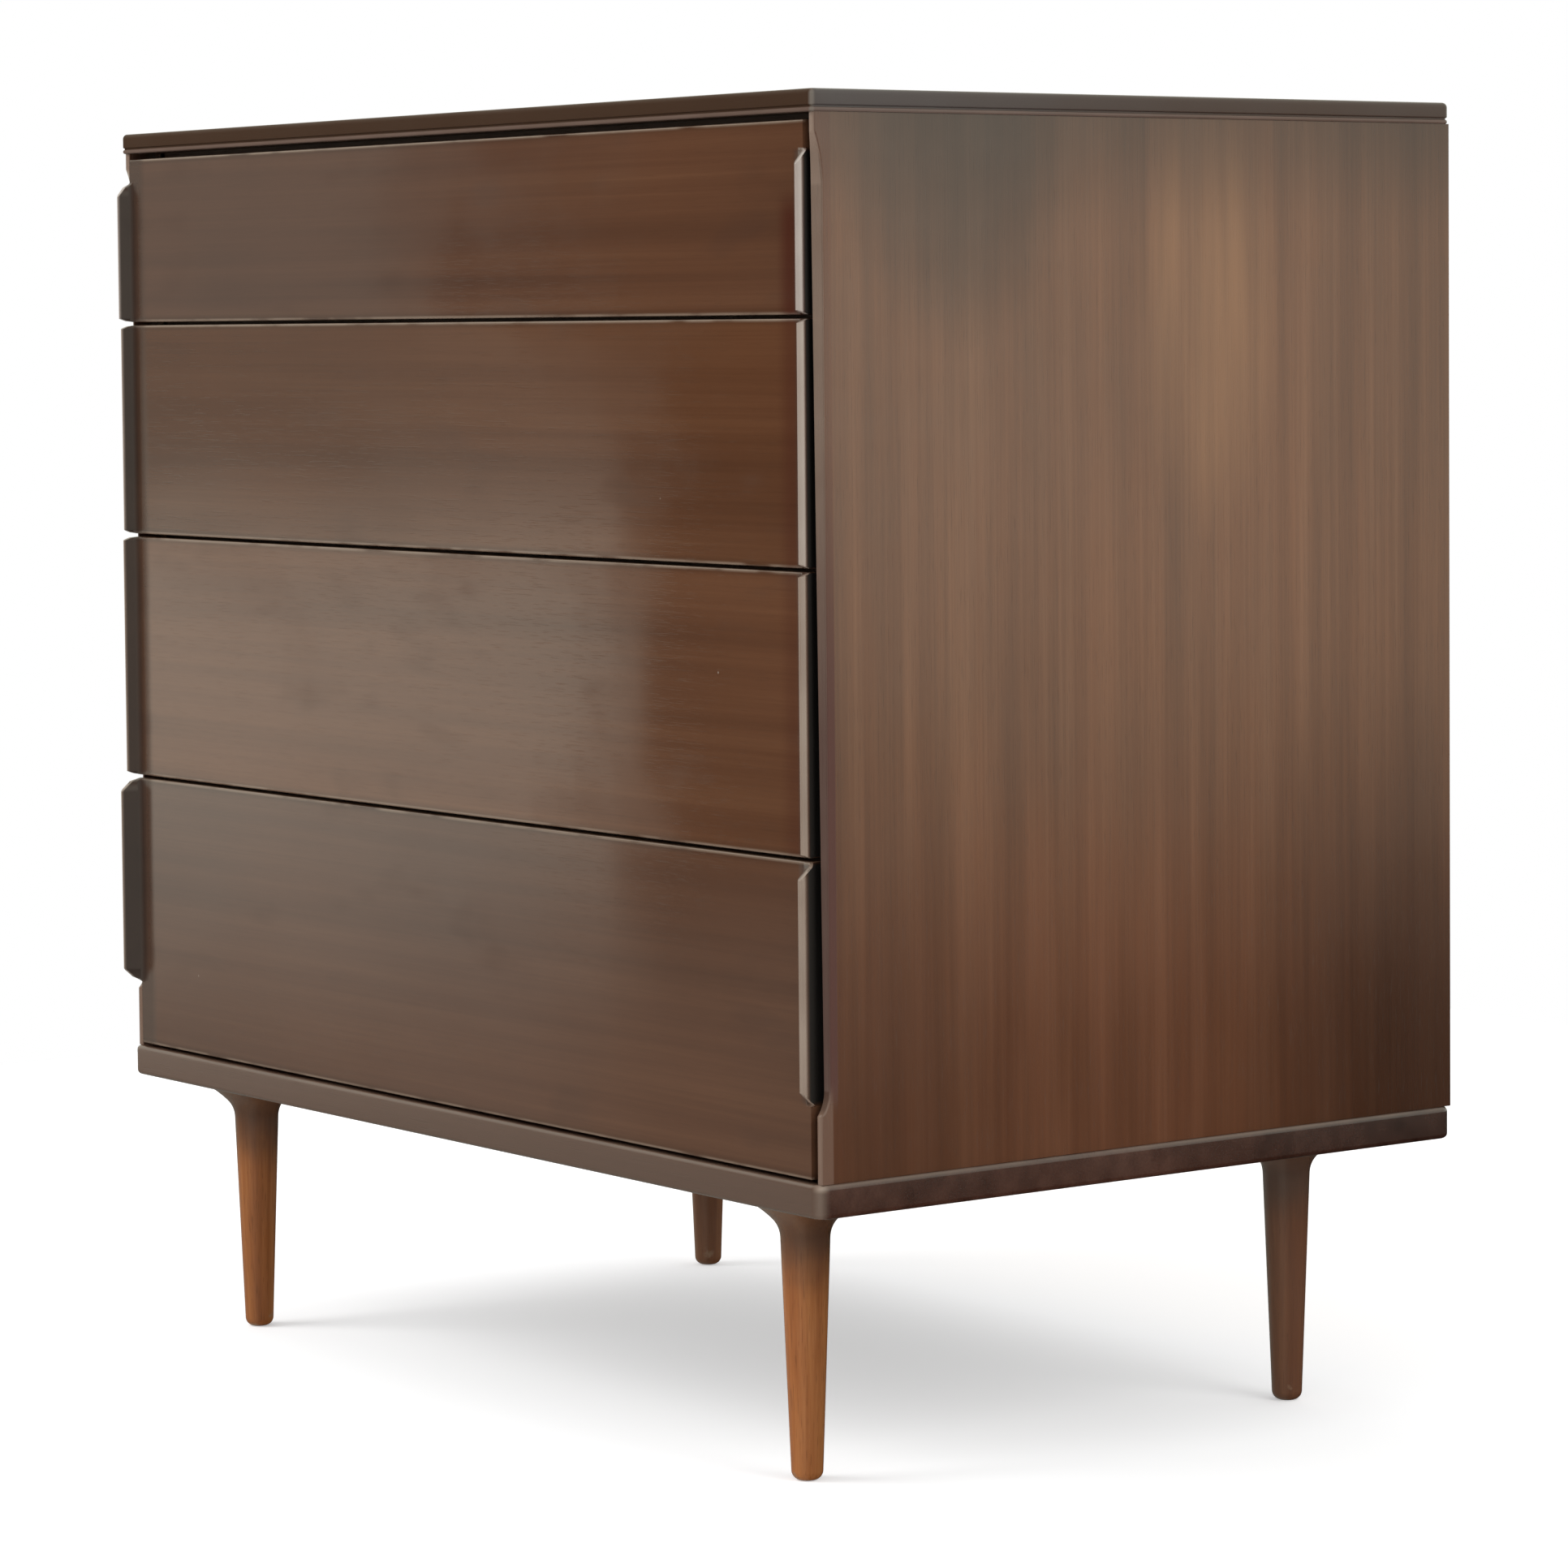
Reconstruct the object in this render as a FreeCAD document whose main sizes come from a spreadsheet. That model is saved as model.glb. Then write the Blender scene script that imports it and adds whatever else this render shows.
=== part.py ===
"""Chest of four graduated drawers on turned legs.

A thin top and a slightly proud base panel hold two sides between them. Each overlay drawer front ends in
a lipping that is carved forward into a vertical finger pull, and the tongue of the side beside it is scooped
back. Millimetres, +Z up, the front faces -Y, and the origin is on the floor under the middle of the chest.
"""
import FreeCAD, Part
import Sketcher
import math
import os

# Driving sizes: name, value, what it is
SIZES = (
    ("case_width", 745, "over the two sides"),
    ("case_depth", 465, "front plane of the drawer fronts to the back"),
    ("leg_height", 160, "floor to the underside of the base panel"),
    ("base_thickness", 19, "base panel"),
    ("base_proud", 2, "base panel past the case at the front and sides"),
    ("base_corner", 8, "plan radius of the base panel's corners"),
    ("base_arris", 3, "rounding of the base panel's edges"),
    ("top_thickness", 12.5, "top panel"),
    ("top_overhang", 1, "top panel past the case at the front and sides"),
    ("top_corner", 4, "plan radius of the top panel's corners"),
    ("top_arris", 3, "rounding of the top panel's upper edge"),
    ("bead_height", 2.5, "bead along the top panel's lower edge"),
    ("bead_groove", 1, "height of the groove above the bead"),
    ("bead_depth", 1, "depth of that groove"),
    ("side_thickness", 18, "side panels"),
    ("side_tongue", 5, "part of a side that shows beside the drawer fronts"),
    ("side_setback", 1.5, "tongue's front edge behind the front plane of the drawer fronts"),
    ("scoop_depth", 5.5, "how far the tongue is cut back beside the pulls"),
    ("scoop_run_top", 30, "run-out of the scoop at its upper end"),
    ("scoop_run_foot", 14, "run-out of the scoop at its lower end"),
    ("scoop_below_top", 10, "scoop starts this far under the top panel"),
    ("scoop_above_base", 37, "scoop ends this far above the base panel"),
    ("back_thickness", 6, "back panel"),
    ("back_rebate", 10, "width of the rebate that holds the back panel"),
    ("rail_height", 16, "rails behind the drawer fronts"),
    ("rail_depth", 45, "rails, front to back"),
    ("rail_housing", 5, "rails let into the sides"),
    ("face_1", 104.5, "height of the top drawer's front"),
    ("face_2", 134.5, "height of the second drawer's front"),
    ("face_3", 154.5, "height of the third drawer's front"),
    ("face_4", 173, "height of the bottom drawer's front"),
    ("reveal", 2, "gap between two drawer fronts"),
    ("top_reveal", 4, "gap under the top panel"),
    ("base_reveal", 2, "gap above the base panel"),
    ("front_thickness", 20, "drawer fronts"),
    ("end_gap", 3, "gap between a front's end and the side's tongue"),
    ("stop_gap", 0.5, "closed drawer front to the rails"),
    ("lipping_width", 32, "solid end of a front that carries the pull"),
    ("lip_1", 7.5, "how far the top drawer's pulls stand forward"),
    ("lip_2", 6.5, "the second drawer's pulls"),
    ("lip_3", 7, "the third drawer's pulls"),
    ("lip_4", 10.5, "the bottom drawer's pulls"),
    ("lip_thickness", 4, "pull at its rounded edge"),
    ("lip_root", 2.5, "root of the pull, in from the front's end"),
    ("lip_cove", 4, "cove between the front's face and the pull"),
    ("lip_hollow", 2, "the front's end is hollowed this far behind the pull"),
    ("hollow_radius", 10, "hollow behind the pull"),
    ("lip_run_share", 0.565, "sideways run of the pull for each unit forward"),
    ("shoulder", 9, "sloped end of a pull that stops short, and the bottom pull's head"),
    ("corner_slope", 2.5, "sloped end of a pull at the gap between two drawers"),
    ("flush_above", 15, "top of the top drawer's front above its pulls"),
    ("flush_below", 40, "foot of the bottom drawer's front below its pulls"),
    ("box_side_gap", 1, "drawer box to the side panel"),
    ("box_floor_gap", 3, "drawer box above what is below it"),
    ("box_head_gap", 6, "drawer box below what is above it"),
    ("box_rear_gap", 14, "closed drawer box to the back panel"),
    ("box_wall", 12, "drawer sides and backs"),
    ("dovetail_mouth", 6, "sliding dovetail at the front's back face"),
    ("dovetail_root", 9, "sliding dovetail at its widest"),
    ("dovetail_length", 7, "sliding dovetail into the front"),
    ("pin_mouth", 7, "pins of the drawer back, narrow end"),
    ("pin_root", 13, "pins of the drawer back, wide end"),
    ("pin_pitch", 34, "largest distance between two pins"),
    ("floor_thickness", 4, "drawer bottoms"),
    ("floor_groove", 5, "depth of the groove that holds a drawer bottom"),
    ("floor_height", 9, "drawer bottom above the lower edge of the sides"),
    ("runner_height", 15, "runners"),
    ("runner_reach", 7, "runners out of the side panel"),
    ("runner_gap", 0.3, "top of a runner to the drawer side's groove"),
    ("runner_slack", 1, "other gaps round a runner"),
    ("runner_setback", 8, "rails' front to the runner's front end"),
    ("runner_stop", 12, "runner's rear end to the back panel"),
    ("screw_shank", 1.75, "radius of a screw's shank"),
    ("screw_head", 3.5, "radius of a screw's head"),
    ("screw_dome", 1.6, "height of a screw's domed head"),
    ("screw_length", 14, "screw under its head"),
    ("screw_fit", 0.1, "hole's radius past the screw's"),
    ("screw_edge", 6, "screws from the edge of a thin panel"),
    ("screw_inset", 60, "first screw from the end of a row"),
    ("leg_side_inset", 75, "leg's axis from the case's side"),
    ("leg_front_inset", 45, "front leg's axis from the case's front"),
    ("leg_back_inset", 63, "rear leg's axis from the case's back"),
    ("leg_foot", 9, "radius of a leg at the floor"),
    ("leg_foot_round", 5.5, "rounding of the leg's foot"),
    ("leg_knee", 14, "radius of a leg under its flare"),
    ("leg_flare", 24, "height of the flared head"),
    ("leg_throat", 16, "radius of the curve that starts the flare and turns it to 45 degrees"),
    ("leg_head", 33, "radius of the flared head"),
    ("leg_rim", 1.5, "straight rim at the top of the head"),
    ("bolt_radius", 4, "hanger bolt of a leg"),
    ("bolt_in_base", 14, "hanger bolt into the base panel"),
    ("bolt_in_leg", 35, "hanger bolt into the leg"),
    ("dowel_radius", 4, "dowels of the case"),
    ("dowel_in_top", 9, "dowel into the top panel"),
    ("dowel_in_base", 12, "dowel into the base panel"),
    ("dowel_in_side", 20, "dowel into a side panel"),
    ("dowel_inset", 60, "first dowel from the case's front or back"),
    ("overrun", 1, "cutting shapes past the surface they open"),
)
DRAWER_COUNT = 4
DRAWERS = range(1, DRAWER_COUNT + 1)
SIDES = {"left": -1, "right": 1}
DOWELS_PER_ROW = 4
BACK_SCREW_ROWS = 5
RUNNER_SCREWS = 2
FLOOR_SCREWS = 3

doc = FreeCAD.newDocument("chest_of_drawers")
sheet = doc.addObject("Spreadsheet::Sheet", "Sizes")
parts = []


class Size:
    """A length: its value now, and the expression over the sheet's cells that a feature is bound to."""

    def __init__(self, value, text):
        self.value = value
        self.text = text

    def __add__(self, other):
        return Size(self.value + as_size(other).value, f"({self.text} + {as_size(other).text})")

    def __radd__(self, other):
        return self if other == 0 else as_size(other) + self

    def __sub__(self, other):
        return Size(self.value - as_size(other).value, f"({self.text} - {as_size(other).text})")

    def __neg__(self):
        return self * -1

    def __mul__(self, other):
        return Size(self.value * as_size(other).value, f"({self.text} * {as_size(other).text})")

    def __truediv__(self, other):
        return Size(self.value / as_size(other).value, f"({self.text} / {as_size(other).text})")

    def root(self):
        return Size(math.sqrt(self.value), f"sqrt({self.text})")


def as_size(number):
    return number if isinstance(number, Size) else Size(number, str(number))


def write_sheet():
    for row, (name, value, note) in enumerate(SIZES, start=1):
        sheet.set(f"A{row}", name)
        sheet.set(f"B{row}", str(value))
        sheet.setAlias(f"B{row}", name)
        sheet.set(f"C{row}", note)
    doc.recompute()


def size(name):
    return Size(float(sheet.get(name)), f"Sizes.{name}")


def keep(item, label, x=0, y=0, z=0):
    """Names a finished sub-part and binds its place."""
    item.Label = label
    for axis, distance in zip("xyz", (x, y, z)):
        if isinstance(distance, Size):
            item.setExpression(f"Placement.Base.{axis}", distance.text)
    parts.append(item)
    return item


def box(name, length, width, height):
    made = doc.addObject("Part::Box", name)
    for side, distance in zip(("Length", "Width", "Height"), (length, width, height)):
        made.setExpression(side, distance.text)
    return made


def sketch(body, name, role, height=None):
    """A sketch on the body's own plane, moved along the plane's normal by height."""
    made = body.newObject("Sketcher::SketchObject", name)
    plane = next(item for item in body.Origin.OriginFeatures if item.Role == role)
    made.AttachmentSupport = [(plane, "")]
    made.MapMode = "FlatFace"
    if height is not None:
        made.setExpression("AttachmentOffset.Base.z", height.text)
    return made


def fix(drawing, kind, where, distance):
    """One constraint, bound to the sheet unless it is zero."""
    distance = as_size(distance)
    number = drawing.addConstraint(Sketcher.Constraint(kind, *where, distance.value))
    if distance.text != "0":
        drawing.setExpression(f"Constraints[{number}]", distance.text)


def arc_through(start, end, radius, turn):
    """The short arc from start to end that turns left (1) or right (-1)."""
    chord = end - start
    middle = start + chord * 0.5
    rise = math.sqrt(max(radius * radius - chord.Length * chord.Length / 4, 0))
    across = FreeCAD.Vector(-chord.y, chord.x, 0).normalize()
    centre = middle + across * (rise * turn)
    first, last = (start, end) if turn > 0 else (end, start)
    circle = Part.Circle(centre, FreeCAD.Vector(0, 0, 1), radius)
    from_angle = math.atan2(first.y - centre.y, first.x - centre.x)
    to_angle = math.atan2(last.y - centre.y, last.x - centre.x)
    if to_angle < from_angle:
        to_angle += 2 * math.pi
    return Part.ArcOfCircle(circle, from_angle, to_angle)


def outline(drawing, corners):
    """A closed outline. A corner is (across, up), or (across, up, radius, turn) where an arc leads to it."""
    points = [FreeCAD.Vector(as_size(c[0]).value, as_size(c[1]).value, 0) for c in corners]
    ends = []
    for index, corner in enumerate(corners):
        start, end = points[index - 1], points[index]
        if len(corner) == 2:
            edge = drawing.addGeometry(Part.LineSegment(start, end), False)
            ends.append((edge, 1, 2))
        else:
            radius, turn = corner[2], corner[3]
            edge = drawing.addGeometry(arc_through(start, end, radius.value, turn), False)
            fix(drawing, "Radius", (edge,), radius)
            ends.append((edge, 1, 2) if turn > 0 else (edge, 2, 1))
    for index, corner in enumerate(corners):
        edge, _, last = ends[index]
        following, first, _ = ends[(index + 1) % len(corners)]
        drawing.addConstraint(Sketcher.Constraint("Coincident", edge, last, following, first))
        fix(drawing, "DistanceX", (-1, 1, edge, last), corner[0])
        fix(drawing, "DistanceY", (-1, 1, edge, last), corner[1])


def rectangle(drawing, x_from, x_to, y_from, y_to):
    outline(drawing, [(x_from, y_from), (x_to, y_from), (x_to, y_to), (x_from, y_to)])


def rounded(drawing, x_from, x_to, y_from, y_to, radius):
    corners = [
        (x_to - radius, y_from),
        (x_to, y_from + radius, radius, 1),
        (x_to, y_to - radius),
        (x_to - radius, y_to, radius, 1),
        (x_from + radius, y_to),
        (x_from, y_to - radius, radius, 1),
        (x_from, y_from + radius),
        (x_from + radius, y_from, radius, 1),
    ]
    outline(drawing, corners)


def circles(drawing, centres, radius):
    for across, up in centres:
        place = FreeCAD.Vector(as_size(across).value, as_size(up).value, 0)
        ring = drawing.addGeometry(Part.Circle(place, FreeCAD.Vector(0, 0, 1), radius.value), False)
        fix(drawing, "DistanceX", (-1, 1, ring, 3), across)
        fix(drawing, "DistanceY", (-1, 1, ring, 3), up)
        fix(drawing, "Radius", (ring,), radius)


def pad(body, drawing, length):
    made = body.newObject("PartDesign::Pad", f"{drawing.Name}_pad")
    made.Profile = drawing
    made.setExpression("Length", length.text)
    return made


def pocket(body, drawing, depth, along):
    """Cuts from the sketch, along its plane's normal or against it."""
    made = body.newObject("PartDesign::Pocket", f"{drawing.Name}_pocket")
    made.Profile = drawing
    made.Reversed = along
    made.setExpression("Length", depth.text)
    return made


def top_face(shape):
    return max(range(len(shape.Faces)), key=lambda i: shape.Faces[i].CenterOfMass.z) + 1


def bottom_face(shape):
    return min(range(len(shape.Faces)), key=lambda i: shape.Faces[i].CenterOfMass.z) + 1


def round_faces(body, feature, faces, radius):
    doc.recompute()
    made = body.newObject("PartDesign::Fillet", f"{body.Name}_arris")
    made.Base = (feature, [f"Face{find(feature.Shape)}" for find in faces])
    made.setExpression("Radius", radius.text)
    return made


def spread(first, last, count):
    """Evenly spaced places, both ends included."""
    return [first + (last - first) * (step / (count - 1)) for step in range(count)]


write_sheet()

# Shared sizes of the case
half_width = size("case_width") / 2
case_depth = size("case_depth")
front_y = (size("lip_4") - case_depth - size("screw_dome")) / 2
inner_half = half_width - size("side_thickness")
base_top = size("leg_height") + size("base_thickness")
faces = {number: size(f"face_{number}") for number in DRAWERS}
lips = {number: size(f"lip_{number}") for number in DRAWERS}
face_foot = {DRAWER_COUNT: base_top + size("base_reveal")}
for number in reversed(DRAWERS[:-1]):
    face_foot[number] = face_foot[number + 1] + faces[number + 1] + size("reveal")
under_top = face_foot[1] + faces[1] + size("top_reveal")
side_height = under_top - base_top
rebate_y = size("front_thickness") + size("stop_gap")
back_y = case_depth - size("back_thickness")

# Rails lie behind the gaps between the fronts, and the top rail lies under the top panel
rail_foot = {0: under_top - size("rail_height")}
for number in DRAWERS[:-1]:
    rail_foot[number] = face_foot[number] - (size("reveal") + size("rail_height")) / 2

# Drawer boxes between the rails
box_foot = {number: foot + size("rail_height") + size("box_floor_gap") for number, foot in rail_foot.items()}
box_foot[DRAWER_COUNT] = base_top + size("box_floor_gap")
box_height = {number: rail_foot[number - 1] - size("box_head_gap") - box_foot[number] for number in DRAWERS}
box_half = inner_half - size("box_side_gap")
box_rear = back_y - size("box_rear_gap")
groove_head = {
    number: box_foot[number] + (box_height[number] + size("runner_height")) / 2 for number in DRAWERS
}
runner_foot = {number: groove_head[number] - size("runner_gap") - size("runner_height") for number in DRAWERS}
runner_front = rebate_y + size("runner_setback")
runner_rear = back_y - size("runner_stop")

# Places that both pieces of a joint share
dowel_ys = spread(size("dowel_inset"), case_depth - size("dowel_inset"), DOWELS_PER_ROW)
dowel_x = half_width - size("side_thickness") / 2
dowel_hole = size("dowel_radius") + size("screw_fit")
leg_places = [
    (side, (half_width - size("leg_side_inset")) * sign, depth)
    for side, sign in SIDES.items()
    for depth in (size("leg_front_inset"), case_depth - size("leg_back_inset"))
]
bolt_hole = size("bolt_radius") + size("screw_fit")
screw_hole = size("screw_shank") + size("screw_fit")
screw_zs = spread(size("screw_inset"), side_height - size("screw_inset"), BACK_SCREW_ROWS)
screw_x = inner_half + size("back_rebate") - size("screw_edge")
runner_screw_ys = spread(runner_front + size("screw_inset"), runner_rear - size("screw_inset"), RUNNER_SCREWS)


def make_top():
    """Top panel in three layers: the bead, the groove above it and the band of the edge."""
    body = doc.addObject("PartDesign::Body", "top")
    overhang = size("top_overhang")
    reach = half_width + overhang
    layers = (
        ("bead", 0, size("bead_height"), as_size(0)),
        ("groove", size("bead_height"), size("bead_groove"), size("bead_depth")),
        (
            "band",
            size("bead_height") + size("bead_groove"),
            size("top_thickness") - size("bead_height") - size("bead_groove"),
            as_size(0),
        ),
    )
    for name, foot, height, inset in layers:
        drawing = sketch(body, f"top_{name}", "XY_Plane", as_size(foot))
        edge = reach - inset
        rounded(drawing, -edge, edge, inset - overhang, case_depth - inset, size("top_corner") - inset)
        last = pad(body, drawing, height)
    round_faces(body, last, [top_face], size("top_arris"))
    drawing = sketch(body, "top_dowel_holes", "XY_Plane")
    circles(drawing, [(dowel_x * sign, y) for sign in SIDES.values() for y in dowel_ys], dowel_hole)
    pocket(body, drawing, size("dowel_in_top"), True)
    keep(body, "top_panel", 0, front_y, under_top)


def make_base():
    body = doc.addObject("PartDesign::Body", "base")
    proud = size("base_proud")
    reach = half_width + proud
    drawing = sketch(body, "base_plan", "XY_Plane")
    rounded(drawing, -reach, reach, -proud, case_depth, size("base_corner"))
    last = pad(body, drawing, size("base_thickness"))
    round_faces(body, last, [top_face, bottom_face], size("base_arris"))
    drawing = sketch(body, "base_bolt_holes", "XY_Plane")
    circles(drawing, [(x, y) for _, x, y in leg_places], bolt_hole)
    pocket(body, drawing, size("bolt_in_base"), True)
    drawing = sketch(body, "base_dowel_holes", "XY_Plane", size("base_thickness"))
    circles(drawing, [(dowel_x * sign, y) for sign in SIDES.values() for y in dowel_ys], dowel_hole)
    pocket(body, drawing, size("dowel_in_base"), False)
    keep(body, "base_panel", 0, front_y, size("leg_height"))


def make_side(side, sign):
    """Side panel with a rebate at the front and back, housings for the rails and the scoop by the pulls."""
    body = doc.addObject("PartDesign::Body", f"{side}_side")
    outer = half_width * sign
    inner = inner_half * sign
    tongue = (half_width - size("side_tongue")) * sign
    front = size("side_setback")
    rebate = (inner_half + size("back_rebate")) * sign
    drawing = sketch(body, f"{side}_side_plan", "XY_Plane")
    corners = [
        (tongue, front),
        (outer, front),
        (outer, case_depth),
        (rebate, case_depth),
        (rebate, back_y),
        (inner, back_y),
        (inner, rebate_y),
        (tongue, rebate_y),
    ]
    outline(drawing, corners)
    pad(body, drawing, side_height)

    drawing = sketch(body, f"{side}_housings", "YZ_Plane", inner)
    for foot in rail_foot.values():
        low = foot - base_top
        rectangle(drawing, rebate_y, rebate_y + size("rail_depth"), low, low + size("rail_height"))
    pocket(body, drawing, size("rail_housing"), sign > 0)

    drawing = sketch(body, f"{side}_scoop", "YZ_Plane", outer + size("overrun") * sign)
    deep = size("scoop_depth")
    foot, foot_run = size("scoop_above_base"), size("scoop_run_foot")
    head, head_run = side_height - size("scoop_below_top"), size("scoop_run_top")
    foot_radius = (deep * deep + foot_run * foot_run) / (deep * 2)
    head_radius = (deep * deep + head_run * head_run) / (deep * 2)
    corners = [
        (front - size("overrun"), foot),
        (front, foot),
        (front + deep, foot + foot_run, foot_radius, 1),
        (front + deep, head - head_run),
        (front, head, head_radius, 1),
        (front - size("overrun"), head),
    ]
    outline(drawing, corners)
    pocket(body, drawing, size("side_tongue") + size("overrun") * 2, sign < 0)

    for name, height, along in (("foot", as_size(0), True), ("head", side_height, False)):
        drawing = sketch(body, f"{side}_dowels_{name}", "XY_Plane", height)
        circles(drawing, [(dowel_x * sign, y) for y in dowel_ys], dowel_hole)
        pocket(body, drawing, size("dowel_in_side"), along)

    drawing = sketch(body, f"{side}_back_screw_holes", "XZ_Plane", -back_y)
    circles(drawing, [(screw_x * sign, z) for z in screw_zs], screw_hole)
    pocket(body, drawing, size("screw_length") - size("back_thickness"), True)

    drawing = sketch(body, f"{side}_runner_screw_holes", "YZ_Plane", inner)
    centres = [
        (y, runner_foot[number] + size("runner_height") / 2 - base_top)
        for number in DRAWERS
        for y in runner_screw_ys
    ]
    circles(drawing, centres, screw_hole)
    pocket(body, drawing, size("screw_length") + size("screw_dome") - size("runner_reach"), sign > 0)
    keep(body, f"{side}_side_panel", 0, front_y, base_top)


def make_back():
    body = doc.addObject("PartDesign::Body", "back")
    reach = inner_half + size("back_rebate")
    drawing = sketch(body, "back_plan", "XZ_Plane", -case_depth)
    rectangle(drawing, -reach, reach, 0, side_height)
    pad(body, drawing, size("back_thickness"))
    drawing = sketch(body, "back_holes", "XZ_Plane", -case_depth)
    circles(drawing, [(screw_x * sign, z) for sign in SIDES.values() for z in screw_zs], screw_hole)
    pocket(body, drawing, size("back_thickness"), True)
    keep(body, "back_panel", 0, front_y, base_top)


def make_rails():
    reach = inner_half + size("rail_housing")
    for number, foot in rail_foot.items():
        label = "top_rail" if number == 0 else f"divider_rail_{number}"
        rail = box(label, reach * 2, size("rail_depth"), size("rail_height"))
        keep(rail, label, -reach, front_y + rebate_y, foot)


def make_runner(number, side, sign):
    """Runner of one drawer side, with its screws' heads sunk in its face."""
    name = f"runner_{number}_{side}"
    body = doc.addObject("PartDesign::Body", name)
    inner = inner_half * sign
    face = inner - size("runner_reach") * sign
    low, high = as_size(0), size("runner_height")
    drawing = sketch(body, f"{name}_end", "YZ_Plane", face if sign > 0 else inner)
    rectangle(drawing, runner_front, runner_rear, low, high)
    pad(body, drawing, size("runner_reach"))
    centres = [(y, high / 2) for y in runner_screw_ys]
    drawing = sketch(body, f"{name}_shank_holes", "YZ_Plane", face)
    circles(drawing, centres, screw_hole)
    pocket(body, drawing, size("runner_reach"), sign > 0)
    drawing = sketch(body, f"{name}_head_holes", "YZ_Plane", face)
    circles(drawing, centres, size("screw_head") + size("screw_fit"))
    pocket(body, drawing, size("screw_dome"), sign > 0)
    keep(body, name, 0, front_y, runner_foot[number])


def make_leg(name, x, y):
    """Turned leg: a straight taper, then a head that flares out under the base panel."""
    body = doc.addObject("PartDesign::Body", name)
    top = size("leg_height")
    knee, throat = size("leg_knee"), size("leg_throat")
    knee_z = top - size("leg_flare")
    diagonal = as_size(0.5).root()
    bend_x = knee + throat - throat * diagonal
    bend_z = knee_z + throat * diagonal
    rim_z = top - size("leg_rim")
    out, up = size("leg_head") - bend_x, rim_z - bend_z
    bell = (out * out + up * up) * diagonal / (out - up)
    drawing = sketch(body, f"{name}_profile", "XZ_Plane")
    corners = [
        (0, 0),
        (size("leg_foot") - size("leg_foot_round"), 0),
        (size("leg_foot"), size("leg_foot_round"), size("leg_foot_round"), 1),
        (knee, knee_z),
        (bend_x, bend_z, throat, -1),
        (size("leg_head"), rim_z, bell, -1),
        (size("leg_head"), top),
        (0, top),
    ]
    outline(drawing, corners)
    turned = body.newObject("PartDesign::Revolution", f"{name}_turned")
    turned.Profile = drawing
    turned.ReferenceAxis = (drawing, ["V_Axis"])
    drawing = sketch(body, f"{name}_bore", "XY_Plane", top)
    circles(drawing, [(0, 0)], bolt_hole)
    pocket(body, drawing, size("bolt_in_leg"), False)
    keep(body, name, x, front_y + y)


def make_pegs(label, radius, places):
    """Plain round pegs as one set; places holds each peg's foot and its length."""
    pegs = []
    for index, (x, y, z, length) in enumerate(places):
        peg = doc.addObject("Part::Cylinder", f"{label}_{index}")
        peg.setExpression("Radius", radius.text)
        peg.setExpression("Height", length.text)
        for axis, distance in zip("xyz", (x, y, z)):
            peg.setExpression(f"Placement.Base.{axis}", distance.text)
        pegs.append(peg)
    pegs_set = doc.addObject("Part::Compound", label)
    pegs_set.Links = pegs
    keep(pegs_set, label)


def make_bolts_and_dowels():
    length = size("bolt_in_leg") + size("bolt_in_base")
    foot = size("leg_height") - size("bolt_in_leg")
    make_pegs("leg_bolts", size("bolt_radius"), [(x, front_y + y, foot, length) for _, x, y in leg_places])
    dowels = []
    for sign in SIDES.values():
        for y in dowel_ys:
            x = dowel_x * sign
            foot = base_top - size("dowel_in_base")
            dowels.append((x, front_y + y, foot, size("dowel_in_base") + size("dowel_in_side")))
            foot = under_top - size("dowel_in_side")
            dowels.append((x, front_y + y, foot, size("dowel_in_side") + size("dowel_in_top")))
    make_pegs("case_dowels", size("dowel_radius"), dowels)


def screw_shape():
    """Dome-headed screw that points along +Z, with the underside of its head at the origin."""
    head, dome = size("screw_head").value, size("screw_dome").value
    ball_radius = (head * head + dome * dome) / (2 * dome)
    ball = Part.makeSphere(ball_radius, FreeCAD.Vector(0, 0, ball_radius - dome))
    cap = ball.common(Part.makeCylinder(head, dome, FreeCAD.Vector(0, 0, -dome)))
    return cap.fuse(Part.makeCylinder(size("screw_shank").value, size("screw_length").value))


def make_screws(label, places):
    """A set of screws; places holds the seat of each head and the way the screw points."""
    screws = []
    for x, y, z, way in places:
        screw = screw_shape()
        turn = FreeCAD.Rotation(FreeCAD.Vector(0, 0, 1), FreeCAD.Vector(*way))
        screw.Placement = FreeCAD.Placement(FreeCAD.Vector(x.value, y.value, z.value), turn)
        screws.append(screw)
    screw_set = doc.addObject("Part::Feature", label)
    screw_set.Shape = Part.makeCompound(screws)
    keep(screw_set, label)


def make_case_screws():
    back = [
        (screw_x * sign, front_y + case_depth, base_top + z, (0, -1, 0))
        for sign in SIDES.values()
        for z in screw_zs
    ]
    make_screws("back_screws", back)
    seat = inner_half - size("runner_reach") + size("screw_dome")
    runner = [
        (seat * sign, front_y + y, runner_foot[number] + size("runner_height") / 2, (sign, 0, 0))
        for sign in SIDES.values()
        for number in DRAWERS
        for y in runner_screw_ys
    ]
    make_screws("runner_screws", runner)


# Drawers
front_half = half_width - size("side_tongue") - size("end_gap")
panel_half = front_half - size("lipping_width")
wall_middle = box_half - size("box_wall") / 2
dovetail_head = {number: box_foot[number] + box_height[number] - face_foot[number] for number in DRAWERS}
floor_foot = {number: box_foot[number] + size("floor_height") - face_foot[number] for number in DRAWERS}
floor_half = box_half - size("box_wall") + size("floor_groove")
runner_groove_depth = size("runner_reach") - size("box_side_gap") + size("runner_slack")
floor_screw_xs = spread(-(box_half - size("screw_inset")), box_half - size("screw_inset"), FLOOR_SCREWS)


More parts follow.
